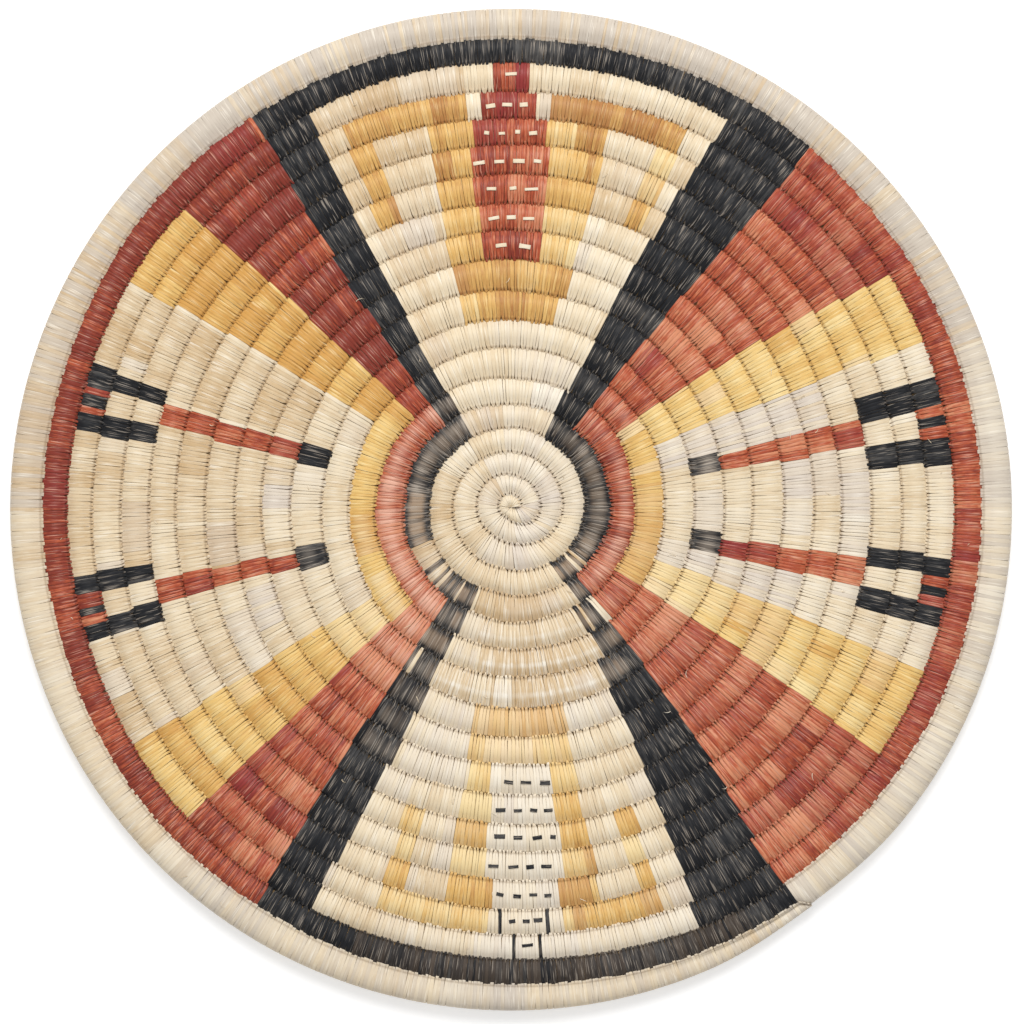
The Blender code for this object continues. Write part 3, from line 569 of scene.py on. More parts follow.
# Where the splints of one colour differ, row by row: first and last round, start and end, and how much the
# tone shifts, the other colour shows and the dye is worn
PATCHES = {
    "natural": (
        (2, 2, 20, 118, 0.30, 0.3, 0.0), (2, 2, 118, 170, -0.25, 0.2, 0.0), (2, 2, 285, 330, 0.30, 0.2, 0.0),
        (2, 2, 330, 380, -0.10, 0.6, 0.0), (8, 8, 98, 118, -0.25, 0.0, 0.0), (10, 10, 149, 160, -0.20, 0.0, 0.0),
        (11, 11, 163, 183, -0.25, 0.0, 0.0), (11, 13, 183, 192, -0.25, 0.0, 0.0), (13, 13, 200, 212, -0.25, 0.0, 0.0),
        (15, 15, 182, 190, -0.20, 0.0, 0.0), (16, 16, 149, 158, -0.25, 0.0, 0.0),
        (3, 3, 0, 118, 0.30, 0.3, 0.0), (3, 3, 118, 131, -0.30, 0.0, 0.0), (3, 3, 131, 180, -0.20, 0.1, 0.0),
        (3, 3, 195, 228, -0.10, 0.0, 0.0), (3, 3, 228, 360, 0.15, 0.3, 0.0), (4, 4, 150, 280, -0.25, 0.0, 0.0),
        (4, 5, 35, 95, 0.15, 0.2, 0.0), (5, 5, 95, 124, -0.30, 0.4, 0.0), (5, 5, 150, 206, -0.70, 0.1, 0.0),
        (5, 5, 206, 248, -0.30, 0.2, 0.0),
        (5, 5, 250, 290, -0.40, 0.0, 0.2), (5, 5, 290, 326, -0.30, 0.0, 0.3), (5, 5, 326, 400, -0.40, 0.2, 0.3),
        (6, 6, 60, 80, 0.45, 0.4, 0.0), (6, 6, 255, 302, -0.25, 0.0, 0.7), (6, 6, 302, 314, -0.40, 0.0, 0.5),
        (7, 7, 60, 90, 0.10, 0.3, 0.0), (7, 7, 248, 258, 0.00, 0.3, 0.5), (7, 7, 258, 302, -0.35, 0.0, 1.0),
        (8, 8, 80, 96, 0.00, 0.2, 0.0), (14, 14, 68, 76, -0.20, 0.0, 0.0), (8, 8, 245, 300, -0.25, 0.0, 1.0), (8, 8, 265, 270, 0.50, 0.5, 0.3),
        (9, 9, 245, 260, 0.10, 0.3, 0.2), (9, 9, 285, 299, 0.10, 0.4, 0.0), (10, 11, 246, 260, 0.15, 0.3, 0.0),
        (8, 13, 14, 25, 0.10, 0.7, 0.0), (13, 13, 339, 347, 0.20, 0.0, 0.0), (9, 12, 339, 348, 0.10, 0.6, 0.0),
        (10, 15, 149, 162, -0.25, 0.0, 0.0), (10, 10, 170, 180, 0.00, 0.3, 0.0), (10, 10, 181, 190, -0.15, 0.0, 0.0),
        (11, 11, 197, 206, 0.10, 0.6, 0.0), (11, 13, 104, 116, -0.25, 0.1, 0.0), (12, 12, 165, 192, -0.22, 0.0, 0.0),
        (12, 12, 238, 250, 0.15, 0.3, 0.0), (12, 12, 355, 374, 0.15, 0.3, 0.0), (13, 13, 60, 75, -0.25, 0.0, 0.0),
        (13, 13, 163, 182, -0.30, 0.0, 0.0), (14, 15, 103, 118, -0.28, 0.0, 0.0), (14, 15, 165, 182, -0.25, 0.0, 0.0),
        (14, 14, 198, 212, -0.15, 0.0, 0.0), (14, 14, 345, 366, 0.25, 0.4, 0.0), (16, 16, 106, 118, -0.20, 0.0, 0.0),
        (16, 16, 172, 186, -0.15, 0.0, 0.0), (16, 17, 198, 213, -0.18, 0.0, 0.0), (17, 17, 96, 118, -0.35, 0.1, 0.0),
        (17, 17, 150, 190, -0.20, 0.0, 0.0), (9, 10, 104, 118, -0.10, 0.0, 0.0), (11, 17, 265, 279, 0.30, 0.2, 0.0),
        (17, 17, 252, 298, 0.15, 0.2, 0.0), (19, 19, 20, 130, -0.25, 0.9, 0.0), (19, 19, 130, 180, -0.35, 0.5, 0.0),
        (19, 19, 180, 230, -0.05, 0.2, 0.0), (19, 19, 230, 300, -0.05, 0.4, 0.0), (19, 19, 300, 380, 0.20, 0.5, 0.0),
    ),
    "red": (
        (17, 17, 32, 51, 0.00, 0.30, 0.0), (16, 16, 32, 51, 0.05, 0.5, 0.0), (14, 15, 32, 51, 0.15, 0.0, 0.0),
        (13, 13, 32, 36, -0.15, 0.0, 0.0), (12, 12, 36, 45, 0.10, 0.15, 0.0), (10, 11, 32, 52, 0.22, 0.0, 0.0),
        (9, 9, 36, 44, 0.15, 0.0, 0.0), (9, 9, 44, 50, 0.15, 0.5, 0.0), (8, 8, 35, 52, 0.05, 0.0, 0.0),
        (7, 7, 36, 52, 0.05, 0.1, 0.5), (6, 6, 0, 40, -0.20, 0.1, 0.7), (6, 6, 40, 52, 0.05, 0.3, 0.3),
        (18, 18, 0, 28, -0.15, 0.0, 0.0), (18, 18, 28, 50, 0.00, 0.25, 0.0), (18, 18, 32, 34, 0.00, 0.3, 0.0),
        (18, 18, 124, 140, -0.75, 0.1, 0.0), (18, 18, 182, 237, -0.30, 0.0, 0.0), (16, 17, 123, 138, -0.58, 0.0, 0.0),
        (18, 18, 140, 182, -0.50, 0.0, 0.0), (14, 14, 345, 354, 0.30, 0.0, 0.0),
        (16, 16, 129, 135, 0.00, 0.3, 0.0), (15, 15, 124, 137, -0.80, 0.1, 0.0), (14, 14, 124, 137, -0.45, 0.0, 0.0),
        (13, 13, 124, 137, -0.18, 0.0, 0.0), (13, 13, 129.5, 130.2, -0.10, 0.9, 0.0),
        (9, 10, 124, 137, -0.65, 0.0, 0.0), (11, 12, 124, 137, -0.45, 0.0, 0.0), (8, 8, 126, 137, -0.22, 0.0, 0.0),
        (7, 7, 127, 136, 0.00, 0.15, 0.0), (6, 6, 128, 166, 0.10, 0.0, 1.2), (6, 6, 150, 156, 0.00, 0.3, 0.0),
        (6, 6, 166, 236, 0.30, 0.0, 1.8), (12, 14, 230, 237, 0.15, 0.0, 0.0), (16, 16, 223, 237, 0.20, 0.1, 0.0),
        (15, 15, 224, 228, -0.20, 0.7, 0.0), (15, 15, 231, 237, -0.20, 0.3, 0.0), (13, 14, 223, 226, 0.00, 0.6, 0.0),
        (12, 12, 223, 230, 0.20, 0.0, 0.0), (11, 11, 223, 229, -0.25, 0.0, 0.0), (11, 11, 229, 236, 0.15, 0.0, 0.0),
        (10, 10, 223, 236, 0.10, 0.0, 0.0), (9, 9, 223, 236, 0.30, 0.0, 0.4), (8, 8, 223, 236, 0.48, 0.0, 1.2),
        (7, 7, 223, 235, 0.42, 0.0, 1.2), (18, 18, 306, 315, 0.10, 0.0, 0.0), (18, 18, 315, 326, -0.10, 0.4, 0.0),
        (18, 18, 326, 330, -0.10, 0.0, 0.0), (18, 18, 330, 360, -0.10, 0.3, 0.0), (17, 17, 306, 314, 0.35, 0.0, 0.0),
        (17, 17, 314, 326, 0.15, 0.35, 0.0), (16, 16, 306, 327, 0.10, 0.35, 0.0), (15, 15, 306, 327, 0.10, 0.0, 0.0),
        (14, 14, 306, 327, 0.30, 0.0, 0.0), (13, 13, 306, 314, 0.00, 0.0, 0.0), (13, 13, 314, 324, 0.15, 0.2, 0.0),
        (12, 12, 308, 328, 0.10, 0.0, 0.2), (11, 11, 308, 328, 0.12, 0.0, 0.3), (10, 10, 310, 318, -0.02, 0.0, 0.2),
        (10, 10, 318, 327, 0.20, 0.3, 0.2), (9, 9, 310, 329, 0.25, 0.0, 0.3), (8, 8, 311, 330, -0.15, 0.0, 0.1),
        (7, 7, 313, 330, 0.10, 0.1, 0.3), (6, 6, 313, 322, 0.00, 0.1, 0.8), (6, 6, 322, 360, -0.05, 0.0, 1.0),
        (6, 6, 126, 137, -0.35, 0.0, 0.0),
        (15, 15, 308, 316, 0.35, 0.0, 0.0), (14, 14, 304, 308, 0.20, 0.0, 0.0), (18, 18, 190, 212, 0.15, 0.0, 0.0),
        (15, 15, 32, 51, -0.15, 0.0, 0.0), (17, 17, 223, 230, -0.15, 0.0, 0.0), (14, 14, 84, 97, -0.15, 0.0, 0.0),
        (17, 17, 87.5, 89.5, -0.15, 0.5, 0.0), (16, 16, 86, 95, -0.25, 0.1, 0.0), (16, 16, 89, 92.5, -0.10, 0.4, 0.0),
        (15, 15, 90.5, 95.6, -0.10, 0.6, 0.0), (14, 14, 6, 15, 0.35, 0.0, 0.0), (12, 13, 6, 15, 0.25, 0.0, 0.0),
        (12, 12, 347, 355, -0.10, 0.0, 0.0), (10, 10, 347, 355, 0.00, 0.6, 0.0),
    ),
    "yellow": (
        (17, 17, 22, 32, 0.10, 0.0, 0.0), (16, 16, 22, 33, 0.00, 0.0, 0.0), (15, 15, 22, 33, 0.05, 0.0, 0.0),
        (14, 14, 22, 33, -0.05, 0.0, 0.0), (13, 13, 30, 34, -0.35, 0.0, 0.0), (11, 12, 22, 34, 0.20, 0.0, 0.0),
        (8, 10, 23, 36, 0.10, 0.0, 0.0), (7, 7, 0, 10, -0.25, 0.2, 0.0), (17, 17, 137, 150, -0.28, 0.0, 0.0),
        (16, 16, 137, 142, -0.60, 0.0, 0.0), (16, 16, 142, 150, -0.35, 0.0, 0.0), (15, 15, 137, 150, -0.50, 0.0, 0.0),
        (14, 14, 137, 141, -0.65, 0.0, 0.0), (14, 14, 141, 149, -0.25, 0.0, 0.0), (13, 13, 137, 149, -0.50, 0.0, 0.0),
        (12, 12, 137, 149, -0.52, 0.0, 0.0), (10, 11, 136, 148, -0.62, 0.0, 0.0), (8, 9, 136, 148, -0.30, 0.0, 0.0),
        (7, 7, 137, 142, -0.30, 0.0, 0.0), (7, 7, 165, 182, -0.20, 0.0, 0.0), (17, 17, 212, 224, -0.05, 0.0, 0.0),
        (16, 16, 212, 224, -0.30, 0.0, 0.0), (13, 13, 217, 220, -0.35, 0.0, 0.0), (12, 12, 212, 224, -0.30, 0.0, 0.0),
        (10, 11, 212, 223, -0.05, 0.0, 0.0), (8, 9, 212, 223, 0.18, 0.3, 0.0), (7, 7, 182, 198, -0.40, 0.2, 0.3),
        (7, 7, 205, 223, -0.05, 0.4, 0.3), (17, 17, 326, 339, 0.05, 0.0, 0.0), (16, 16, 327, 332, 0.15, 0.0, 0.0),
        (14, 14, 327, 330, 0.25, 0.0, 0.0), (14, 14, 331, 337, -0.15, 0.0, 0.0), (13, 13, 327, 340, 0.00, 0.0, 0.0),
        (12, 12, 327, 340, -0.05, 0.3, 0.0), (11, 11, 333, 341, 0.00, 0.3, 0.0), (10, 10, 333, 340, 0.20, 0.2, 0.0),
        (8, 9, 328, 341, 0.25, 0.25, 0.0), (7, 7, 330, 360, -0.40, 0.15, 0.0), (7, 7, 337, 346, 0.05, 0.1, 0.0),
        (11, 11, 260, 284, 0.10, 0.2, 0.0), (10, 10, 260, 285, 0.10, 0.4, 0.0), (9, 9, 260, 285, -0.40, 0.4, 0.0),
    ),
    "ochre": (
        (16, 16, 65, 69, -0.15, 0.0, 0.0), (16, 16, 69, 71, -0.35, 0.0, 0.0), (16, 16, 71, 84.5, -0.35, 0.2, 0.0),
        (15, 15, 65, 68, 0.30, 0.0, 0.0), (15, 15, 75, 80, -0.35, 0.0, 0.0), (15, 15, 80, 85, 0.10, 0.0, 0.0),
        (14, 14, 65, 68, 0.20, 0.2, 0.0), (14, 14, 79, 84, 0.00, 0.0, 0.0), (14, 14, 76.6, 77.4, -0.40, 0.0, 0.0),
        (13, 13, 64, 66, 0.25, 0.0, 0.0), (13, 13, 66, 69, -0.20, 0.0, 0.0), (13, 13, 75, 84, -0.10, 0.0, 0.0),
        (11, 12, 75, 84, 0.30, 0.0, 0.0), (10, 10, 75, 104, -0.15, 0.0, 0.0), (9, 9, 76, 105, 0.10, 0.0, 0.0),
        (16, 16, 96, 114, -0.20, 0.1, 0.0), (15, 15, 95, 103, 0.00, 0.0, 0.0), (15, 15, 110, 115, -0.15, 0.0, 0.0),
        (14, 14, 96, 103, -0.20, 0.0, 0.0), (13, 13, 96, 104, -0.10, 0.0, 0.0), (13, 13, 110, 115, -0.15, 0.0, 0.0),
        (12, 12, 96, 104, -0.10, 0.0, 0.0), (9, 9, 76, 94, -0.15, 0.0, 0.0), (16, 16, 251, 267, 0.30, 0.0, 0.0),
        (15, 15, 251, 254.5, 0.10, 0.0, 0.0), (15, 15, 260, 267, -0.05, 0.0, 0.0), (14, 14, 251, 254.5, 0.40, 0.0, 0.0),
        (14, 14, 260, 266, 0.50, 0.0, 0.0), (13, 13, 250, 254.5, 0.20, 0.0, 0.0), (13, 13, 260, 266, 0.10, 0.2, 0.0),
        (12, 12, 260, 266, 0.50, 0.0, 0.0), (16, 16, 277, 291, 0.15, 0.0, 0.0), (15, 15, 277, 283, 0.10, 0.0, 0.0),
        (15, 15, 288, 291.5, -0.05, 0.0, 0.0), (14, 14, 278, 283, 0.15, 0.0, 0.0), (14, 14, 288, 292, 0.40, 0.0, 0.0),
        (13, 13, 278, 292, 0.10, 0.0, 0.0), (12, 12, 278, 284, 0.15, 0.0, 0.0),
    ),
    "black": (
        (5, 5, 119, 164, 0.10, 0.2, 0.6), (5, 5, 164, 200, 0.30, 0.8, 0.8), (5, 5, 200, 230, 0.30, 0.9, 0.9),
        (5, 5, 230, 248, 0.10, 0.4, 0.6), (5, 5, 304, 328, 0.15, 0.5, 0.7), (5, 5, 328, 345, 0.15, 0.45, 0.7),
        (5, 5, 345, 400, 0.05, 0.2, 0.6), (5, 5, 40, 66, 0.10, 0.1, 0.5), (6, 8, 235, 248, 0.15, 0.35, 0.7),
        (6, 6, 118, 128, 0.10, 0.15, 0.4), (9, 11, 237, 245, 0.10, 0.1, 0.4), (10, 10, 50, 64, 0.10, 0.0, 0.2),
        (6, 8, 52, 65, -0.05, 0.0, 0.1), (6, 8, 299, 314, 0.15, 0.3, 0.7), (9, 9, 340, 380, 0.20, 0.1, 0.9),
        (9, 9, 190, 196, 0.15, 0.0, 0.6), (18, 18, 60, 100, 0.12, 0.0, 0.0), (18, 18, 250, 300, 0.00, 0.1, 0.0),
        (18, 18, 100, 123, -0.10, 0.0, 0.0), (17, 17, 294, 300, 0.15, 0.0, 0.0),
    ),
}

# Where the stitches of two pieces take turns: the piece that comes in, round, start, end and its share
MIXED = (
    ("natural_crescent_bottom", 5, 166.0, 200.0, 0.08), ("natural_crescent_bottom", 5, 200.0, 230.0, 0.50),
    ("natural_crescent_bottom", 5, 230.0, 247.7, 0.12), ("natural_crescent_bottom", 5, 326.0, 344.0, 0.08),
    ("black_crescent_right", 5, 304.0, 326.0, 0.75), ("black_crescent_right", 6, 302.0, 313.5, 0.75),
    ("natural_crescent_bottom", 6, 235.5, 247.0, 0.20), ("natural_bottom_inner", 7, 235.0, 246.0, 0.08),
    ("natural_bottom_inner", 8, 233.0, 246.0, 0.20), ("natural_bottom_inner", 8, 299.4, 306.0, 0.10),
)


class Sewing:
    """Every stitch of the plaque: where it lies, which piece it belongs to and the tone of its splint."""

    def __init__(self, scene):
        self.coil = Coil(scene.plaque_coil)
        self.sizes = scene.plaque_stitch
        random = np.random.default_rng(self.sizes.seed)
        self.borders = self.lay_out(random)
        self.turn = (self.borders[:-1] + self.borders[1:]) / 2.0
        self.count = len(self.turn)
        self.round = np.minimum(np.floor(self.turn).astype(int) + 1, RIM_ROUND)
        self.angle = self.coil.plan_angle(self.turn)
        self.draws = random.random((self.count, 8))
        self.piece, self.splint = self.paint()
        self.gaps = self.sizes.gap * random.random(self.count + 1) ** 5
        self.gaps[:-1][self.turn > RIM_START] = 0.0
        self.run, self.other, self.worn = self.tones(random)

    def lay_out(self, random):
        """Borders between stitches, in turns.

        The coil's length is summed along its middle, or somewhat inside the knot's outer edge, and uneven
        steps of about one pitch are laid along that length."""
        fine = np.linspace(NOTCH_TURN, COIL_END, 40001)
        middle = (fine[1:] + fine[:-1]) / 2.0
        outer = np.linalg.norm(self.coil.outer(middle) - self.coil.hole(), axis=-1)
        inset = KNOT_SPACING_INSET + (0.5 - KNOT_SPACING_INSET) * ease((middle - BUTTON_END_TURN) / 0.4)
        spacing_radius = outer - inset * self.coil.width(middle)
        along = np.concatenate(((0.0,), np.cumsum(spacing_radius * 2.0 * np.pi * np.diff(fine))))
        count = int(round(along[-1] / self.sizes.pitch))
        steps = 1.0 + self.sizes.unevenness * np.clip(random.normal(size=count), -2.0, 2.0)
        ends = np.concatenate(((0.0,), np.cumsum(steps)))
        return np.interp(ends * along[-1] / ends[-1], along, fine)

    def paint(self):
        """The row of ALL_FIELDS that holds each stitch, as the names of its piece and its splint.

        A row that starts where it ends holds the one stitch nearest to that angle."""
        row = np.full(self.count, -1)
        for index, (_, _, first, last, starts, ends) in enumerate(ALL_FIELDS):
            if starts == ends:
                row[np.argmin(np.where(self.round == first, np.abs(self.angle - starts[0]), 360.0))] = index
                continue
            out = np.clip((self.round - first) / max(last - first, 1), 0.0, 1.0)
            start = starts[0] + (starts[1] - starts[0]) * out
            end = ends[0] + (ends[1] - ends[0]) * out
            span = np.where(end - start >= 360.0, 360.0, around(end, start))
            held = (self.round >= first) & (self.round <= last) & (around(self.angle, start) < span)
            row[held] = index
        names = [field[0] for field in ALL_FIELDS]
        for piece, a_round, start, end, share_in in MIXED:
            held = (self.round == a_round) & (around(self.angle, start) < end - start)
            row[held & (self.draws[:, 7] < share_in)] = names.index(piece)
        if (row < 0).any():
            lost = np.flatnonzero(row < 0)
            raise RuntimeError(f"{len(lost)} stitches lie in no field, such as round {self.round[lost[0]]}")
        splints = np.array([field[1] for field in ALL_FIELDS])
        return np.array(names)[row], splints[row]

    def tones(self, random):
        """Tone of each stitch's splint from 0, deep, to 1, pale, its share of the other colour, and its wear.

        A splint lasts some stitches, so these change in runs, and where the pattern changes splint. Each row
        of PATCHES then shifts them on the stitches that it holds."""
        lasts = random.integers(3, 15, self.count)
        starts = np.zeros(self.count, bool)
        starts[np.clip(np.cumsum(lasts), 0, self.count - 1)] = True
        starts[1:] |= self.piece[1:] != self.piece[:-1]
        starts[0] = True
        run = np.cumsum(starts) - 1
        spread = np.array([LOOKS[splint]["run"] for splint in self.splint])
        tone = 0.5 + spread * np.clip(random.normal(size=run[-1] + 1), -2.2, 2.2)[run]
        odd = np.array([LOOKS[splint]["odd"] for splint in self.splint])
        other = np.where(random.random(run[-1] + 1)[run] < odd, 0.15 + 0.45 * random.random(run[-1] + 1)[run], 0.0)
        worn = np.zeros(self.count)
        for splint, rows in PATCHES.items():
            for first, last, start, end, shift, other_share, wear in rows:
                held = (self.splint == splint) & (self.round >= first) & (self.round <= last)
                held &= np.mod(self.angle - start, 360.0) < end - start
                uneven = 1.0 + LOOKS[splint]["uneven"] * (2.0 * self.draws[held, 4] - 1.0)
                tone[held] += shift
                other[held] = np.clip(other[held] + other_share * uneven, 0.0, 1.0)
                worn[held] += wear
        return tone, other, worn * (0.4 + 1.2 * self.draws[:, 3])


class Wire:
    """A node's output. Sums and products of wires and numbers add the Math nodes that work them out."""

    def __init__(self, finish, socket):
        self.finish = finish
        self.socket = socket

    def maths(self, operation, first, second):
        return self.finish.node("ShaderNodeMath", {"operation": operation}, {0: first, 1: second})

    def __add__(self, other):
        return self.maths("ADD", self, other)

    def __sub__(self, other):
        return self.maths("SUBTRACT", self, other)

    def __mul__(self, other):
        return self.maths("MULTIPLY", self, other)

    def __truediv__(self, other):
        return self.maths("DIVIDE", self, other)

    def __rsub__(self, other):
        return self.maths("SUBTRACT", other, self)

    def __abs__(self):
        return self.maths("ABSOLUTE", self, 0.0)

    __radd__ = __add__
    __rmul__ = __mul__


class Finish:
    """A material and the nodes that make it."""

    def __init__(self, name):
        self.material = bpy.data.materials.new(name)
        self.material.use_nodes = True
        self.tree = self.material.node_tree
        self.tree.nodes.clear()

    def join(self, value, socket):
        """Links a wire to a socket, or sets the socket to a value; a colour gets its alpha."""
        if isinstance(value, Wire):
            self.tree.links.new(value.socket, socket)
        elif hasattr(value, "__len__") and len(value) == 3 and socket.type == "RGBA":
            socket.default_value = (*value, 1.0)
        else:
            socket.default_value = value

    def node(self, kind, settings=None, sockets=None, out=0):
        """Adds a node: its settings come first, a ramp's stops among them, and then its sockets."""
        made = self.tree.nodes.new(kind)
        for name, value in (settings or {}).items():
            if name == "stops":
                self.set_stops(made.color_ramp, value)
            else:
                setattr(made, name, value)
        for name, value in (sockets or {}).items():
            self.join(value, made.inputs[name])
        return Wire(self, made.outputs[out])

    @staticmethod
    def set_stops(ramp, stops):
        while len(ramp.elements) < len(stops):
            ramp.elements.new(1.0)
        for element, (position, tint) in zip(ramp.elements, stops):
            element.position = position
            element.color = (*tint, 1.0)

    def mix(self, factor, first, second, blend="MIX"):
        """Two colours mixed by a factor."""
        settings = {"data_type": "RGBA", "blend_type": blend, "clamp_factor": True}
        return self.node("ShaderNodeMix", settings, {0: factor, 6: first, 7: second}, 2)

    def attribute(self, name):
        """A number kept on the mesh."""
        return self.node("ShaderNodeAttribute", {"attribute_name": name}, out="Fac")

    def smooth(self, value, low, high):
        """0 below low and 1 above high, with a smooth step between."""
        settings = {"interpolation_type": "SMOOTHSTEP"}
        return self.node("ShaderNodeMapRange", settings, {"Value": value, "From Min": low, "From Max": high})

    def noise(self, x, y, z, detail):
        """Smooth noise about 0, mostly within a quarter, at a place given by three numbers."""
        place = self.node("ShaderNodeCombineXYZ", None, {0: x, 1: y, 2: z})
        return self.node("ShaderNodeTexNoise", None, {"Vector": place, "Scale": 1.0, "Detail": detail}) - 0.5

    def map_places(self, name):
        """The two numbers of a map."""
        split = self.node("ShaderNodeSeparateXYZ", None, {0: self.node("ShaderNodeUVMap", {"uv_map": name})})
        return split, Wire(self, split.socket.node.outputs[1])

    def finished(self, sockets):
        """Closes the material with its shader."""
        shader = self.node("ShaderNodeBsdfPrincipled", None, sockets)
        output = self.tree.nodes.new("ShaderNodeOutputMaterial")
        self.join(shader, output.inputs["Surface"])
        return self.material


def splint_material(splint, colours, rim=False):
    """Dyed splint: runs and stitches differ in tone, fibres streak it lengthwise, and painted shade with some dust
    darkens the grooves.

    The tone adds up the run's, the stitch's, a blotch along the stitch and a fibre's, and picks a colour
    between the deep and the pale one. Bare fibres are thin bright streaks, and a worn stitch is polished in a
    narrow band over its crest. A line of painted shade along a stitch's edges comes and goes along it. The
    rim is sewn tighter, so its painted lines and its relief are fainter."""
    name = "rim_splint" if rim else f"{splint}_splint"
    if name in bpy.data.materials:
        return bpy.data.materials[name]
    looks = LOOKS[splint] | (RIM_LOOKS if rim else {})
    finish = Finish(name)
    run, stitch, other, worn, depth = (finish.attribute(number) for number in STITCH_NUMBERS)
    across, along = finish.map_places("Splint")
    fibre = finish.noise(across * 5.0 + stitch * 97.0, along * 0.40, run * 31.0, 2.0)
    streak = finish.noise(across * 6.0 + stitch * 59.0, along * 0.30, stitch * 23.0, 0.0)
    blotch = finish.noise(stitch * 53.0, along * 0.9, run * 17.0, 1.0)
    tone = run + (stitch - 0.5) * looks["stitch"] + blotch * looks["blotch"] + fibre * looks["fibre"]
    stops = [(at, getattr(colours, f"{splint}_{tint}")) for at, tint in ((0.0, "deep"), (0.5, "clear"), (1.0, "pale"))]
    dye = finish.node("ShaderNodeValToRGB", {"stops": stops}, {0: tone})
    from_crest = abs(along - CREST_STATION + 0.4) + blotch * 0.5
    from_middle = abs(along - CREST_STATION + 0.8) + blotch * 0.5
    off_crest = finish.smooth(from_middle, 0.6, 1.9) * finish.smooth(worn, 0.0, 0.4)
    faded = other * (1.0 - off_crest)
    dye = finish.mix(faded, dye, getattr(colours, "rim_other" if rim else f"{splint}_other"))
    bare = finish.smooth(streak + worn * 0.12 + looks["bare"] * 0.2, 0.20, 0.32) * looks["bare_shows"]
    polished = finish.smooth(from_crest, looks["crest"], 0.05) * worn * 0.3
    dye = finish.mix(bare + polished, dye, getattr(colours, f"{splint}_worn"))
    edge = abs(across - 0.5)
    # Painted shade along the gaps at a stitch's edges, stronger near the grooves
    near_groove = finish.smooth(abs(along - CREST_STATION) + blotch * 4.0, 0.6, 3.2)
    line = finish.smooth(edge + blotch * 0.3, 0.25, 0.40) * (0.5 + near_groove * 0.5) * looks["line"]
    # Painted shade in the grooves, with some dust, stronger the deeper the station lies
    groove = finish.smooth(depth + fibre * 0.5, 0.25, 0.95) * looks["groove"]
    dark = 1.0 - (1.0 - line) * (1.0 - groove)
    # The dye darkened towards the painted shade and dust colour by the edge line and the groove
    shaded_dye = finish.mix(dark, dye, colours.shade_and_dust, "MULTIPLY")
    roughness = looks["roughness"] + fibre * 0.4 + groove * 0.3
    height = finish.smooth(edge, 0.42, 0.08) + fibre
    bump = finish.node("ShaderNodeBump", None, {"Strength": looks["relief"], "Distance": 0.00015, "Height": height})
    sockets = {"Base Color": shaded_dye, "Roughness": roughness, "Normal": bump, "Specular IOR Level": looks["sheen"]}
    return finish.finished(sockets)


STITCH_NUMBERS = ("run", "stitch", "other", "worn", "depth")


def grass_material(colours):
    """Dry grass seen between the stitches: long dull stalks."""
    finish = Finish("grass_stalks")
    along, round_it = finish.map_places("Splint")
    stalks = finish.noise(along * 40.0, round_it * 60.0, 0.0, 2.0)
    tint = finish.mix(finish.smooth(stalks, -0.2, 0.2), colours.grass_dark, colours.grass_light)
    bump = finish.node("ShaderNodeBump", None, {"Strength": 0.4, "Distance": 0.0003, "Height": stalks})
    return finish.finished({"Base Color": tint, "Roughness": 0.85, "Normal": bump})


def unit(vectors):
    """Vectors made one long."""
    return vectors / np.maximum(np.linalg.norm(vectors, axis=-1, keepdims=True), 1e-12)


def sheet_faces(rows, columns, first=0):
    """Quads of a tube of rows joined end to end, each row a closed ring of columns."""
    row = np.arange(rows)[:, None]
    column = np.arange(columns)[None, :]
    following, beside = (row + 1) % rows, (column + 1) % columns
    corners = (row * columns + column, row * columns + beside, following * columns + beside)
    return np.stack((*corners, following * columns + column), axis=-1).reshape(-1, 4) + first


def new_piece(name, points, quads, material):
    """A piece of the plaque from arrays of points and quads, riding on the body.

    Strips are smooth along their length and keep their long edges sharp, as flat splints do."""
    mesh = bpy.data.meshes.new(name)
    mesh.vertices.add(len(points))
    mesh.vertices.foreach_set("co", points.astype(np.float32).ravel())
    mesh.loops.add(quads.size)
    mesh.loops.foreach_set("vertex_index", quads.astype(np.int32).ravel())
    mesh.polygons.add(len(quads))
    mesh.polygons.foreach_set("loop_start", np.arange(0, quads.size, 4, dtype=np.int32))
    mesh.update(calc_edges=True)
    mesh.shade_smooth()
    ends = np.empty(len(mesh.edges) * 2, np.int32)
    mesh.edges.foreach_get("vertices", ends)
    mesh.edges.foreach_set("use_edge_sharp", ends[::2] % CORNERS == ends[1::2] % CORNERS)
    mesh.materials.append(material)
    made = bpy.data.objects.new(name, mesh)
    bpy.context.scene.collection.objects.link(made)
    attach(made, BODY)
    return made


def keep_numbers(piece, name, values):
    """Keeps one number per point on the mesh, for the material to read."""
    kept = piece.data.attributes.new(name, "FLOAT", "POINT")
    kept.data.foreach_set("value", values.astype(np.float32).ravel())


def keep_map(piece, name, corners):
    """Keeps a map of two numbers per face corner."""
    kept = piece.data.uv_layers.new(name=name)
    kept.uv.foreach_set("vector", corners.astype(np.float32).ravel())


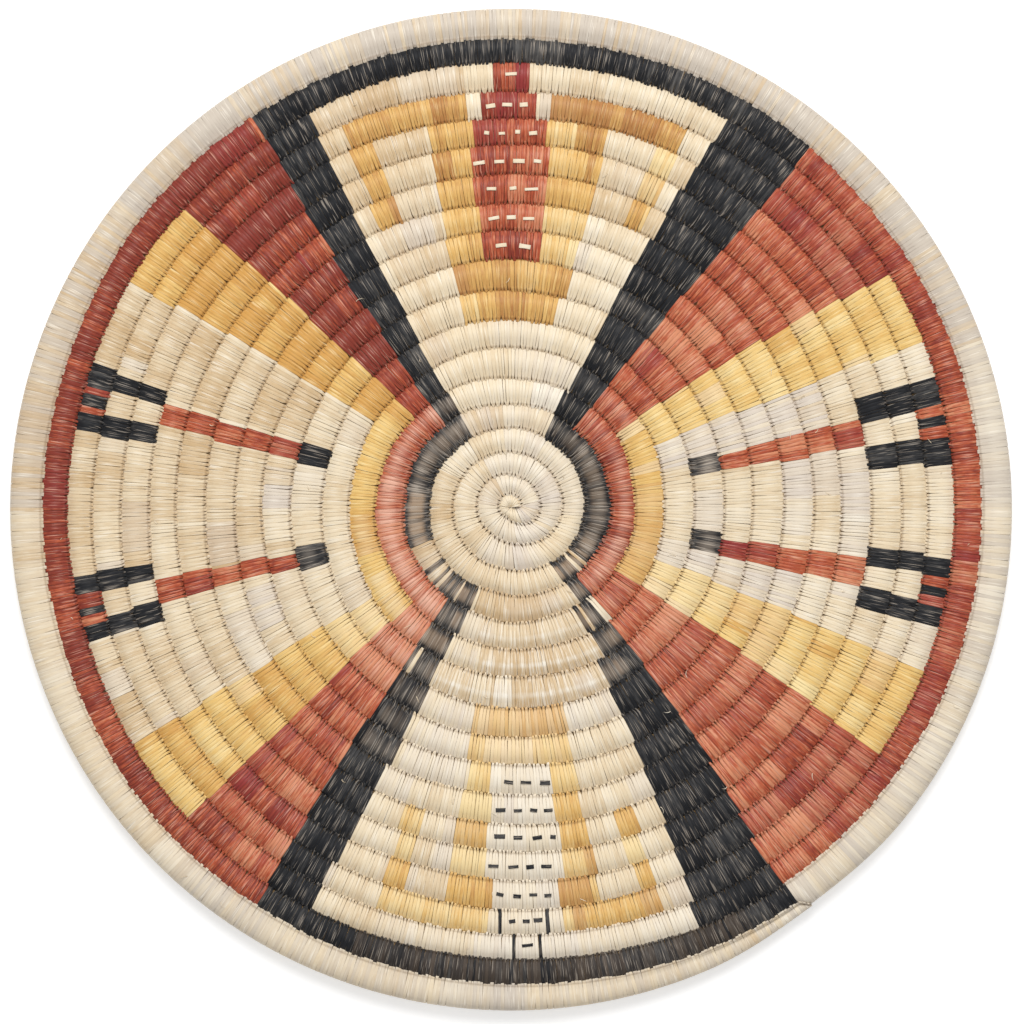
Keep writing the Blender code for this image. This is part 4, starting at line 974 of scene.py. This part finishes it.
def stitch_path(sewing, chosen):
    """Middle line and half widths of some stitches, as arrays of stitch by station.

    In plan, a station lies at a share across the coil between its inner and outer grooves, and the first
    two and the last at one bite inside. Over its own round the line follows a superellipse. The fang dips
    from the slope of the round inside into the groove and climbs its own round. Half of the distance
    between the stitch's two borders, times the station's share, less half of the gaps, is the half width."""
    coil, sizes = sewing.coil, sewing.sizes
    turn = sewing.turn[chosen]
    draws = sewing.draws[chosen]
    width = coil.width(turn)
    in_heart = turn < 1.0 + NOTCH_TURN
    width_inside = np.where(in_heart, coil.sizes.coil_width, coil.width(np.maximum(turn - 1.0, NOTCH_TURN + 0.01)))
    bite = sizes.bite * (0.65 + 0.7 * draws[:, 0]) * np.where(in_heart, 0.0, 1.0)
    buried = 0.35 * bite

    across = np.tile(np.array(CROSSING_SHARES), (len(turn), 1))
    across[:, BURIED] = -(bite + buried) / width
    across[:, EMERGED] = -bite / width
    across[:, -1] = -(bite + buried) / width

    half = coil.half_thickness(turn)[:, None]
    half_inside = coil.half_thickness(np.maximum(turn - 1.0, NOTCH_TURN))
    on_rim = turn > RIM_START
    floor = np.where(on_rim[:, None], 0.0, FLOOR_SHARE)
    height = half * np.maximum(coil.dome(across), floor)
    height[:, TOP_STATIONS:] = -half * np.maximum(coil.dome(across[:, TOP_STATIONS:]), UNDER_FLOOR_SHARE)
    slope = half_inside * coil.dome(1.0 - bite / width_inside)
    slope = np.where(in_heart, half[:, 0] * BRIDGE_SHARE, slope)
    lift = sizes.lift * (draws[:, 1] - 0.3)
    height[:, BURIED] = slope - sizes.burial
    height[:, EMERGED] = slope + sizes.lift + lift
    height[:, BRIDGE] = np.maximum(half[:, 0], half_inside) * BRIDGE_SHARE + lift
    height[:, -1] = -slope + sizes.burial
    height[:, BRIDGE + 1 : TOP_STATIONS] += lift[:, None]

    snapped = snap_fangs(sewing, turn)
    pull = np.zeros_like(across)
    pull[:, (BURIED, EMERGED)] = snapped[:, None]
    pull[:, BRIDGE] = 0.45 * snapped
    borders = sewing.borders
    low, high = borders[:-1][chosen], borders[1:][chosen]
    lean = (draws[:, 2] - 0.5) * 0.35 * (high - low)
    pull = pull + lean[:, None] * (across - 0.5)

    middle = coil.place(turn[:, None] + pull, across)
    span = coil.place(np.broadcast_to(high[:, None], across.shape), across) - coil.place(
        np.broadcast_to(low[:, None], across.shape), across
    )
    shares = np.tile(np.array(WIDTH_SHARES), (len(turn), 1))
    shares[np.ix_(on_rim, RIM_SIDE_STATIONS)] = 1.0
    shares[on_rim, : len(RIM_FANG_SHARES)] = RIM_FANG_SHARES
    reach = np.linalg.norm(span, axis=-1)
    side = unit(span)
    gap_low, gap_high = sewing.gaps[chosen, None], sewing.gaps[chosen + 1, None]
    half_width = np.maximum(reach * shares - (gap_low + gap_high) / 2.0, 0.12 * reach) / 2.0
    middle = middle + side * ((gap_low - gap_high) / 4.0)[..., None]
    centre = np.concatenate((middle, (coil.sizes.thickness / 2.0 + height)[..., None]), axis=-1)
    sideways = np.concatenate((side, np.zeros_like(height)[..., None]), axis=-1)
    return centre, sideways, half_width


def snap_fangs(sewing, turn):
    """How many turns each fang is pulled sideways, towards the nearest gap between stitches one round in.

    On the rim they lie too close together for that."""
    target = turn - 1.0
    place = np.clip(np.searchsorted(sewing.borders, target), 1, len(sewing.borders) - 1)
    below, above = sewing.borders[place - 1], sewing.borders[place]
    nearest = np.where(target - below < above - target, below, above)
    return np.where((turn > 1.0 + NOTCH_TURN) & (turn < RIM_START), (nearest - target) * 0.8, 0.0)


def sew(sewing, name, material, nodes):
    """One piece of stitching: every stitch of that name as a thin closed strip round the coil.

    A strip's section has two upper corners, drawn in, and two lower corners one splint thickness below,
    across the path's own normal, which is sideways crossed with the direction along the path. Corners that
    would lie under the floor are set on it."""
    chosen = np.flatnonzero(sewing.piece == name)
    if not len(chosen):
        raise RuntimeError(f"no stitch belongs to {name}")
    sizes = sewing.sizes
    centre, sideways, half_width = stitch_path(sewing, chosen)
    along = unit(np.roll(centre, -1, axis=1) - np.roll(centre, 1, axis=1))
    normal = unit(np.cross(sideways, along))
    normal = np.where(normal[:, 4:5, 2:3] < 0.0, -normal, normal)
    draws = sewing.draws[chosen]
    roll = ((draws[:, 5] - 0.5) * np.where(sewing.turn[chosen] > RIM_START, 0.05, 0.14))[:, None, None]
    low = centre - normal * sizes.splint
    wide = sideways * half_width[..., None]
    tilt = normal * roll * half_width[..., None]
    corners = np.stack(
        (
            low - wide * SECTION_LOW_SHARE,
            centre - wide * SECTION_TOP_SHARE - tilt,
            centre + wide * SECTION_TOP_SHARE + tilt,
            low + wide * SECTION_LOW_SHARE,
        ),
        axis=2,
    )
    corners[..., 2] = np.maximum(corners[..., 2], 0.0)
    count = len(chosen)
    quads = sheet_faces(STATIONS, CORNERS)
    starts = np.arange(count)[:, None, None] * STATIONS * CORNERS
    faces = (quads[None] + starts).reshape(-1, 4)
    if signed_volume(corners[:1].reshape(-1, 3), quads) < 0.0:
        faces = faces[:, ::-1]
    piece = new_piece(name, corners.reshape(-1, 3), faces, material)
    depths = np.tile(np.array(DEPTH_SHARES), (count, 1))
    # The rim's outer side gets no painted groove shade
    depths[np.ix_(sewing.turn[chosen] > RIM_START, RIM_SIDE_STATIONS)] = 0.0
    numbers = (sewing.run[chosen], draws[:, 6], sewing.other[chosen], sewing.worn[chosen])
    dress(piece, faces, numbers, depths, nodes)
    return piece


def dress(piece, faces, numbers, depths, nodes):
    """Keeps what the splint's material reads: four numbers per strip, the depth per station, and its maps."""
    count, stations = depths.shape
    per_point = np.ones((count, stations * CORNERS))
    values = [per_point * number[:, None] for number in numbers] + [np.repeat(depths, CORNERS, axis=1)]
    for name, value in zip(STITCH_NUMBERS, values):
        keep_numbers(piece, name, value)
    keep_splint_maps(piece, faces, count, stations)
    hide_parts(*nodes)


def lay_strips(name, places, half_width, normal, thickness, material):
    """A piece of open strips from their middle lines, as arrays of strip by station, closed at both ends.

    Each station's section has two corners on the middle line's level and two one thickness below; it lies
    sideways to the line, seen along the normal."""
    count, stations = places.shape[:2]
    ahead = np.gradient(places, axis=1)
    sideways = unit(np.cross(normal, ahead)) * half_width[..., None]
    low = places - normal * thickness
    corners = np.stack((low - sideways, places - sideways, places + sideways, low + sideways), axis=2)
    rings = sheet_faces(stations, CORNERS)[: (stations - 1) * CORNERS]
    last = (stations - 1) * CORNERS
    one = np.concatenate((rings, ((3, 2, 1, 0), (last, last + 1, last + 2, last + 3))))
    if signed_volume(corners[0].reshape(-1, 3), one) < 0.0:
        one = one[:, ::-1]
    faces = (one[None] + np.arange(count)[:, None, None] * stations * CORNERS).reshape(-1, 4)
    return new_piece(name, corners.reshape(-1, 3), faces, material), faces


def lay_dashes(sewing, name, table, material):
    """The dashes of one ear, laid along the coil over its stitches and tucked in at both ends.

    In plan a dash keeps its share across the coil but for a small tilt, and its height is the coil's
    superellipse plus its rise."""
    coil, sizes = sewing.coil, sewing.sizes
    random = np.random.default_rng(sizes.seed)
    rows = [(a_round, ends[0], *pair) for a_round, ends in table.items() for pair in zip(ends[1::2], ends[2::2])]
    a_round, across, start, end = np.array(rows).T[..., None]
    draws = random.random((4, len(rows), 1))
    along = np.array(DASH_STATIONS)
    turn = coil.turn_at(a_round, start + (end - start) * along)
    across = across + 0.06 * (draws[0] - 0.5) + 0.10 * (draws[1] - 0.5) * (along - 0.5)
    height = coil.half_thickness(turn) * coil.dome(across) + sizes.dash_rise * np.array(DASH_RISES)
    plan = coil.place(turn, across)
    places = np.concatenate((plan, (coil.sizes.thickness / 2.0 + height)[..., None]), axis=-1)
    half_width = sizes.dash_width * (0.38 + 0.24 * draws[2]) * np.array((1.0, 1.0, 0.94, 1.0, 1.0))
    normal = np.broadcast_to(np.array((0.0, 0.0, 1.0)), places.shape)
    piece, faces = lay_strips(name, places, half_width, normal, sizes.splint, material)
    plain = np.zeros(len(rows))
    numbers = (plain + 0.65, draws[3, :, 0], plain, plain)
    # The dash's tucked-in ends get painted shade through their depths
    dress(piece, faces, numbers, np.tile(np.array((0.5, 0.1, 0.0, 0.1, 0.5)), (len(rows), 1)), SHARED_NODES[name])
    return piece


def lay_strays(sewing, name, material):
    """Splint ends that stick out here and there: thin strips that leave the coil, rise, curl and taper."""
    coil, sizes = sewing.coil, sewing.sizes
    random = np.random.default_rng(sizes.seed + 1)
    draws = random.random((7, sizes.strays, 1))
    along = np.array(STRAY_STATIONS)
    turn = RIM_START * np.sqrt(draws[0]) + 0.9
    across = 0.15 + 0.75 * draws[1]
    foot = coil.place(turn, across)
    heading = 2.0 * np.pi * draws[2] + (draws[3] - 0.5) * 2.4 * along
    reach = sizes.stray_length * (0.4 + 1.2 * draws[4]) * along
    plan = foot + np.stack((np.cos(heading), np.sin(heading)), axis=-1) * reach[..., None]
    height = coil.half_thickness(turn) * coil.dome(across) + sizes.stray_rise * np.array(STRAY_RISES)
    places = np.concatenate((plan, (coil.sizes.thickness / 2.0 + height)[..., None]), axis=-1)
    half_width = sizes.stray_width / 2.0 * np.array(STRAY_WIDTHS) * np.ones_like(turn)
    normal = np.broadcast_to(np.array((0.0, 0.0, 1.0)), places.shape)
    piece, faces = lay_strips(name, places, half_width, normal, sizes.stray_width / 2.0, material)
    plain = np.zeros(sizes.strays)
    numbers = (0.3 + 0.6 * draws[5, :, 0], draws[6, :, 0], plain, plain)
    dress(piece, faces, numbers, np.zeros((sizes.strays, len(along))), SHARED_NODES[name])
    return piece


def keep_splint_maps(piece, faces, count, stations):
    """The splint's own map, across and along each stitch, and a map with a cell of its own for each stitch."""
    spot = faces.astype(np.int64)
    stitch, within = np.divmod(spot, stations * CORNERS)
    station, corner = np.divmod(within, CORNERS)
    wraps = (station.max(axis=1) - station.min(axis=1) > 1)[:, None]
    rise = np.where(wraps & (station == 0), stations, station)
    turned = (corner.max(axis=1) - corner.min(axis=1) > 2)[:, None]
    across_edges = np.array((0.0, 0.12, 0.88, 1.0, 1.2))
    across = across_edges[np.where(turned & (corner == 0), 4, corner)]
    keep_map(piece, "Splint", np.stack((across, rise), axis=-1))
    columns = max(1, int(math.ceil(math.sqrt(count * 8.0))))
    rows = int(math.ceil(count / columns))
    column, row = stitch % columns, stitch // columns
    inset = 0.06
    u = (column + inset + (1.0 - 2.0 * inset) * across / across_edges[-1]) / columns
    v = (row + inset / 4.0 + (1.0 - inset / 2.0) * rise / stations) / rows
    keep_map(piece, "OFBake", np.stack((u, v), axis=-1))


def signed_volume(points, quads):
    """Six times the volume inside closed quads; below 0 the faces point in."""
    a, b, c, d = (points[quads[:, corner]] for corner in range(4))
    return float((np.cross(a, b) * c).sum() + (np.cross(a, c) * d).sum())


def bundle(sewing, material):
    """The grass bundle under the stitches: one long tube of the coil's section, a splint's thickness in.

    Where two rounds meet, both sides of the tube lie on the groove, at its floor, and so leave no slit."""
    coil = sewing.coil
    even = np.linspace(NOTCH_TURN, COIL_END, int((COIL_END - NOTCH_TURN) * BUNDLE_RINGS))
    seam = RIM_START + SEAM_REACH_TURNS * np.linspace(-1.0, 1.0, SEAM_RINGS)
    turn = np.unique(np.concatenate((even, seam, np.linspace(RIM_ROUND - SEAM_REACH_TURNS, COIL_END, 5)[:-1])))
    across = np.array((0.0, 0.06, 0.16, 0.34, 0.55, 0.77, 0.91, 1.0, 1.0, 0.91, 0.77, 0.45, 0.14, 0.0))
    signs = np.array([1.0] * 8 + [-1.0] * 6)
    half = coil.half_thickness(turn)[:, None]
    shrunk = 0.5 + (across - 0.5) * (1.0 - 2.0 * sewing.sizes.splint / coil.width(turn)[:, None])
    on_groove = np.where(turn[:, None] > RIM_START, across == 0.0, (across == 0.0) | (across == 1.0))
    inset = np.where(on_groove, across, shrunk)
    floor = np.where(signs > 0.0, FLOOR_SHARE, UNDER_FLOOR_SHARE)
    floor = np.where((turn[:, None] > RIM_START) & (across > 0.5), UNDER_FLOOR_SHARE, floor)
    height = (half * np.maximum(coil.dome(across), floor) - 1.05 * sewing.sizes.splint) * signs
    plan = coil.place(np.broadcast_to(turn[:, None], inset.shape), inset)
    points = np.concatenate((plan, (coil.sizes.thickness / 2.0 + height)[..., None]), axis=-1)
    rings, corners = height.shape
    quads = sheet_faces(rings, corners)[: (rings - 1) * corners]
    ends = np.concatenate((points.reshape(-1, 3), points[0].mean(0)[None], points[-1].mean(0)[None]))
    corner = np.arange(corners)
    beside = (corner + 1) % corners
    last = (rings - 1) * corners
    first_cap = np.stack((beside, corner, np.full(corners, rings * corners)), axis=-1)
    last_cap = np.stack((last + corner, last + beside, np.full(corners, rings * corners + 1)), axis=-1)
    made = bpy.data.meshes.new("grass_bundle")
    faces = quads.tolist() + first_cap.tolist() + last_cap.tolist()
    made.from_pydata(ends.tolist(), [], faces)
    made.update()
    made.shade_smooth()
    made.materials.append(material)
    piece = bpy.data.objects.new("grass_bundle", made)
    bpy.context.scene.collection.objects.link(piece)
    loop_vertex = np.empty(len(made.loops), np.int32)
    made.loops.foreach_get("vertex_index", loop_vertex)
    ring, spot = np.divmod(loop_vertex, corners)
    keep_map(piece, "Splint", np.stack((ring / 12.0, spot / corners), axis=-1))
    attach(piece, BODY)
    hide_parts("grass_bundle")
    return piece


class PlaqueOperator:
    """What the plaque's operators share: they lay the stitches out and sew the pieces they name."""

    bl_options = {"REGISTER", "UNDO"}
    pieces = ()

    def execute(self, context):
        sewing = Sewing(context.scene)
        for name in self.pieces:
            splint = next(field[1] for field in ALL_FIELDS if field[0] == name)
            material = splint_material(splint, context.scene.plaque_colours, rim=name.startswith("rim"))
            sew(sewing, name, material, SHARED_NODES.get(name, (name,)))
        return {"FINISHED"}


class PLAQUE_OT_bundle(bpy.types.Operator):
    """Lay the grass bundle from the knot to the tip"""

    bl_idname = "plaque.bundle"
    bl_label = "Grass bundle"

    def execute(self, context):
        bundle(Sewing(context.scene), grass_material(context.scene.plaque_colours))
        return {"FINISHED"}


class PLAQUE_OT_heart(PlaqueOperator, bpy.types.Operator):
    """Sew the knot and the natural heart"""

    bl_idname = "plaque.heart"
    bl_label = "Heart"
    pieces = ("start_knot", "natural_heart")


class PLAQUE_OT_crescents(PlaqueOperator, bpy.types.Operator):
    """Sew the crescents round the heart"""

    bl_idname = "plaque.crescents"
    bl_label = "Crescents"
    pieces = (
        "natural_crescent_top", "natural_crescent_bottom", "black_crescent_right", "black_crescent_left",
        "red_crescent_right", "red_crescent_left", "yellow_crescent_right", "yellow_crescent_left",
    )


class PLAQUE_OT_rays(PlaqueOperator, bpy.types.Operator):
    """Sew the black, red and yellow rays"""

    bl_idname = "plaque.rays"
    bl_label = "Rays"
    pieces = tuple(
        f"{splint}_ray_{corner}"
        for corner in ("upper_right", "upper_left", "lower_left", "lower_right")
        for splint in ("black", "red", "yellow")
    )


class PLAQUE_OT_fans(PlaqueOperator, bpy.types.Operator):
    """Sew the natural fans and their forks"""

    bl_idname = "plaque.fans"
    bl_label = "Fans and forks"
    pieces = (
        "natural_fan_right", "red_forks_right", "black_forks_right",
        "natural_fan_left", "red_forks_left", "black_forks_left",
    )


class PLAQUE_OT_top(PlaqueOperator, bpy.types.Operator):
    """Sew the natural top with its red ear and ochre frame"""

    bl_idname = "plaque.top"
    bl_label = "Top and red ear"
    pieces = (
        "natural_top_inner", "ochre_base_top", "natural_top_right", "ochre_frame_right",
        "red_ear_top", "ochre_frame_left", "natural_top_left",
    )


class PLAQUE_OT_bottom(PlaqueOperator, bpy.types.Operator):
    """Sew the natural bottom with its pale ear and ochre frame"""

    bl_idname = "plaque.bottom"
    bl_label = "Bottom and pale ear"
    pieces = (
        "natural_bottom_inner", "yellow_base_bottom", "natural_bottom_left", "ochre_frame_bottom_left",
        "pale_ear_bottom", "black_lines_bottom", "ochre_frame_bottom_right", "natural_bottom_right",
    )


class PLAQUE_OT_border(PlaqueOperator, bpy.types.Operator):
    """Sew the red and black border and the natural rim"""

    bl_idname = "plaque.border"
    bl_label = "Border and rim"
    pieces = (
        "border_red_right", "border_black_top", "border_red_left", "border_black_bottom", "rim_coil", "rim_tip",
    )


def floor_material():
    """Pale matt floor that keeps the plaque's shadow and shows white to the camera and in reflections."""
    finish = Finish("pale_floor")
    path = finish.node("ShaderNodeLightPath")
    outputs = path.socket.node.outputs
    seen = Wire(finish, outputs["Is Camera Ray"]) + Wire(finish, outputs["Is Glossy Ray"])
    seen = seen + Wire(finish, outputs["Is Transmission Ray"])
    matt = finish.node("ShaderNodeBsdfDiffuse", None, {"Color": srgb(236, 236, 236)})
    glow = finish.node("ShaderNodeEmission", None, {"Color": (1.0, 1.0, 1.0), "Strength": seen * 0.36})
    both = finish.node("ShaderNodeAddShader", None, {0: matt, 1: glow})
    output = finish.tree.nodes.new("ShaderNodeOutputMaterial")
    finish.join(both, output.inputs["Surface"])
    return finish.material


class PLAQUE_OT_dashes(bpy.types.Operator):
    """Lay the dashes on both ears and the stray splint ends"""

    bl_idname = "plaque.dashes"
    bl_label = "Dashes and stray ends"

    def execute(self, context):
        sewing = Sewing(context.scene)
        colours = context.scene.plaque_colours
        pale, black = splint_material("natural", colours), splint_material("black", colours)
        lay_dashes(sewing, "white_dashes_top", TOP_DASHES, pale)
        lay_dashes(sewing, "black_dashes_bottom", BOTTOM_DASHES, black)
        lay_strays(sewing, "stray_ends", pale)
        return {"FINISHED"}


class PLAQUE_OT_stage(bpy.types.Operator):
    """Set the pale floor, the soft light and the camera"""

    bl_idname = "plaque.stage"
    bl_label = "Stage"

    def execute(self, context):
        sizes = context.scene.plaque_stage
        self.lay_floor(sizes)
        self.light(context.scene, sizes)
        self.aim(context.scene, sizes)
        return {"FINISHED"}

    def lay_floor(self, sizes):
        reach = sizes.floor_size
        mesh = bpy.data.meshes.new("floor")
        corners = ((-reach, -reach, 0.0), (reach, -reach, 0.0), (reach, reach, 0.0), (-reach, reach, 0.0))
        mesh.from_pydata(corners, [], [(0, 1, 2, 3)])
        mesh.materials.append(floor_material())
        floor = bpy.data.objects.new("floor", mesh)
        bpy.context.scene.collection.objects.link(floor)

    def light(self, scene, sizes):
        world = bpy.data.worlds.new("even_light")
        scene.world = world
        world.use_nodes = True
        world.node_tree.nodes["Background"].inputs["Color"].default_value = (1.0, 1.0, 1.0, 1.0)
        world.node_tree.nodes["Background"].inputs["Strength"].default_value = sizes.sky
        lamp = bpy.data.lights.new("large_lamp", "AREA")
        lamp.shape = "DISK"
        lamp.size = sizes.lamp_width
        lamp.energy = sizes.lamp_power
        held = bpy.data.objects.new("large_lamp", lamp)
        held.location = (0.0, sizes.lamp_y, sizes.lamp_height)
        held.rotation_euler = held.location.to_track_quat("Z", "Y").to_euler()
        scene.collection.objects.link(held)

    def aim(self, scene, sizes):
        camera = bpy.data.cameras.new("camera")
        camera.sensor_width = 36.0
        distance = sizes.camera_height - scene.plaque_coil.thickness
        camera.lens = camera.sensor_width * distance / sizes.picture_width
        camera.clip_end = 50.0
        held = bpy.data.objects.new("camera", camera)
        held.location = (sizes.picture_x, sizes.picture_y, sizes.camera_height)
        scene.collection.objects.link(held)
        scene.camera = held
        scene.view_settings.view_transform = "Standard"


class PLAQUE_PT_panel(bpy.types.Panel):
    """The plaque's sizes, colours and steps"""

    bl_idname = "PLAQUE_PT_panel"
    bl_label = "Coiled Plaque"
    bl_space_type = "VIEW_3D"
    bl_region_type = "UI"
    bl_category = "Plaque"

    def draw(self, context):
        column = self.layout.column()
        for step in STEPS:
            column.operator(step.bl_idname)
        for group in GROUPS:
            column.label(text=group)
            settings = getattr(context.scene, group)
            for name in settings.bl_rna.properties.keys():
                if name not in ("rna_type", "name"):
                    column.prop(settings, name)


GROUPS = {
    "plaque_coil": CoilSizes,
    "plaque_stitch": StitchSizes,
    "plaque_colours": SplintColours,
    "plaque_stage": StageSizes,
}
STEPS = (
    PLAQUE_OT_bundle,
    PLAQUE_OT_heart,
    PLAQUE_OT_crescents,
    PLAQUE_OT_rays,
    PLAQUE_OT_fans,
    PLAQUE_OT_top,
    PLAQUE_OT_bottom,
    PLAQUE_OT_border,
    PLAQUE_OT_dashes,
    PLAQUE_OT_stage,
)


def register():
    for group in (*GROUPS.values(), *STEPS, PLAQUE_PT_panel):
        bpy.utils.register_class(group)
    for name, group in GROUPS.items():
        setattr(bpy.types.Scene, name, PointerProperty(type=group))


def unregister():
    for name in GROUPS:
        delattr(bpy.types.Scene, name)
    for group in reversed((*GROUPS.values(), *STEPS, PLAQUE_PT_panel)):
        bpy.utils.unregister_class(group)


def main():
    register()
    for step in STEPS:
        area, name = step.bl_idname.split(".")
        getattr(getattr(bpy.ops, area), name)()
    bpy.context.view_layer.update()


if __name__ == "__main__":
    main()
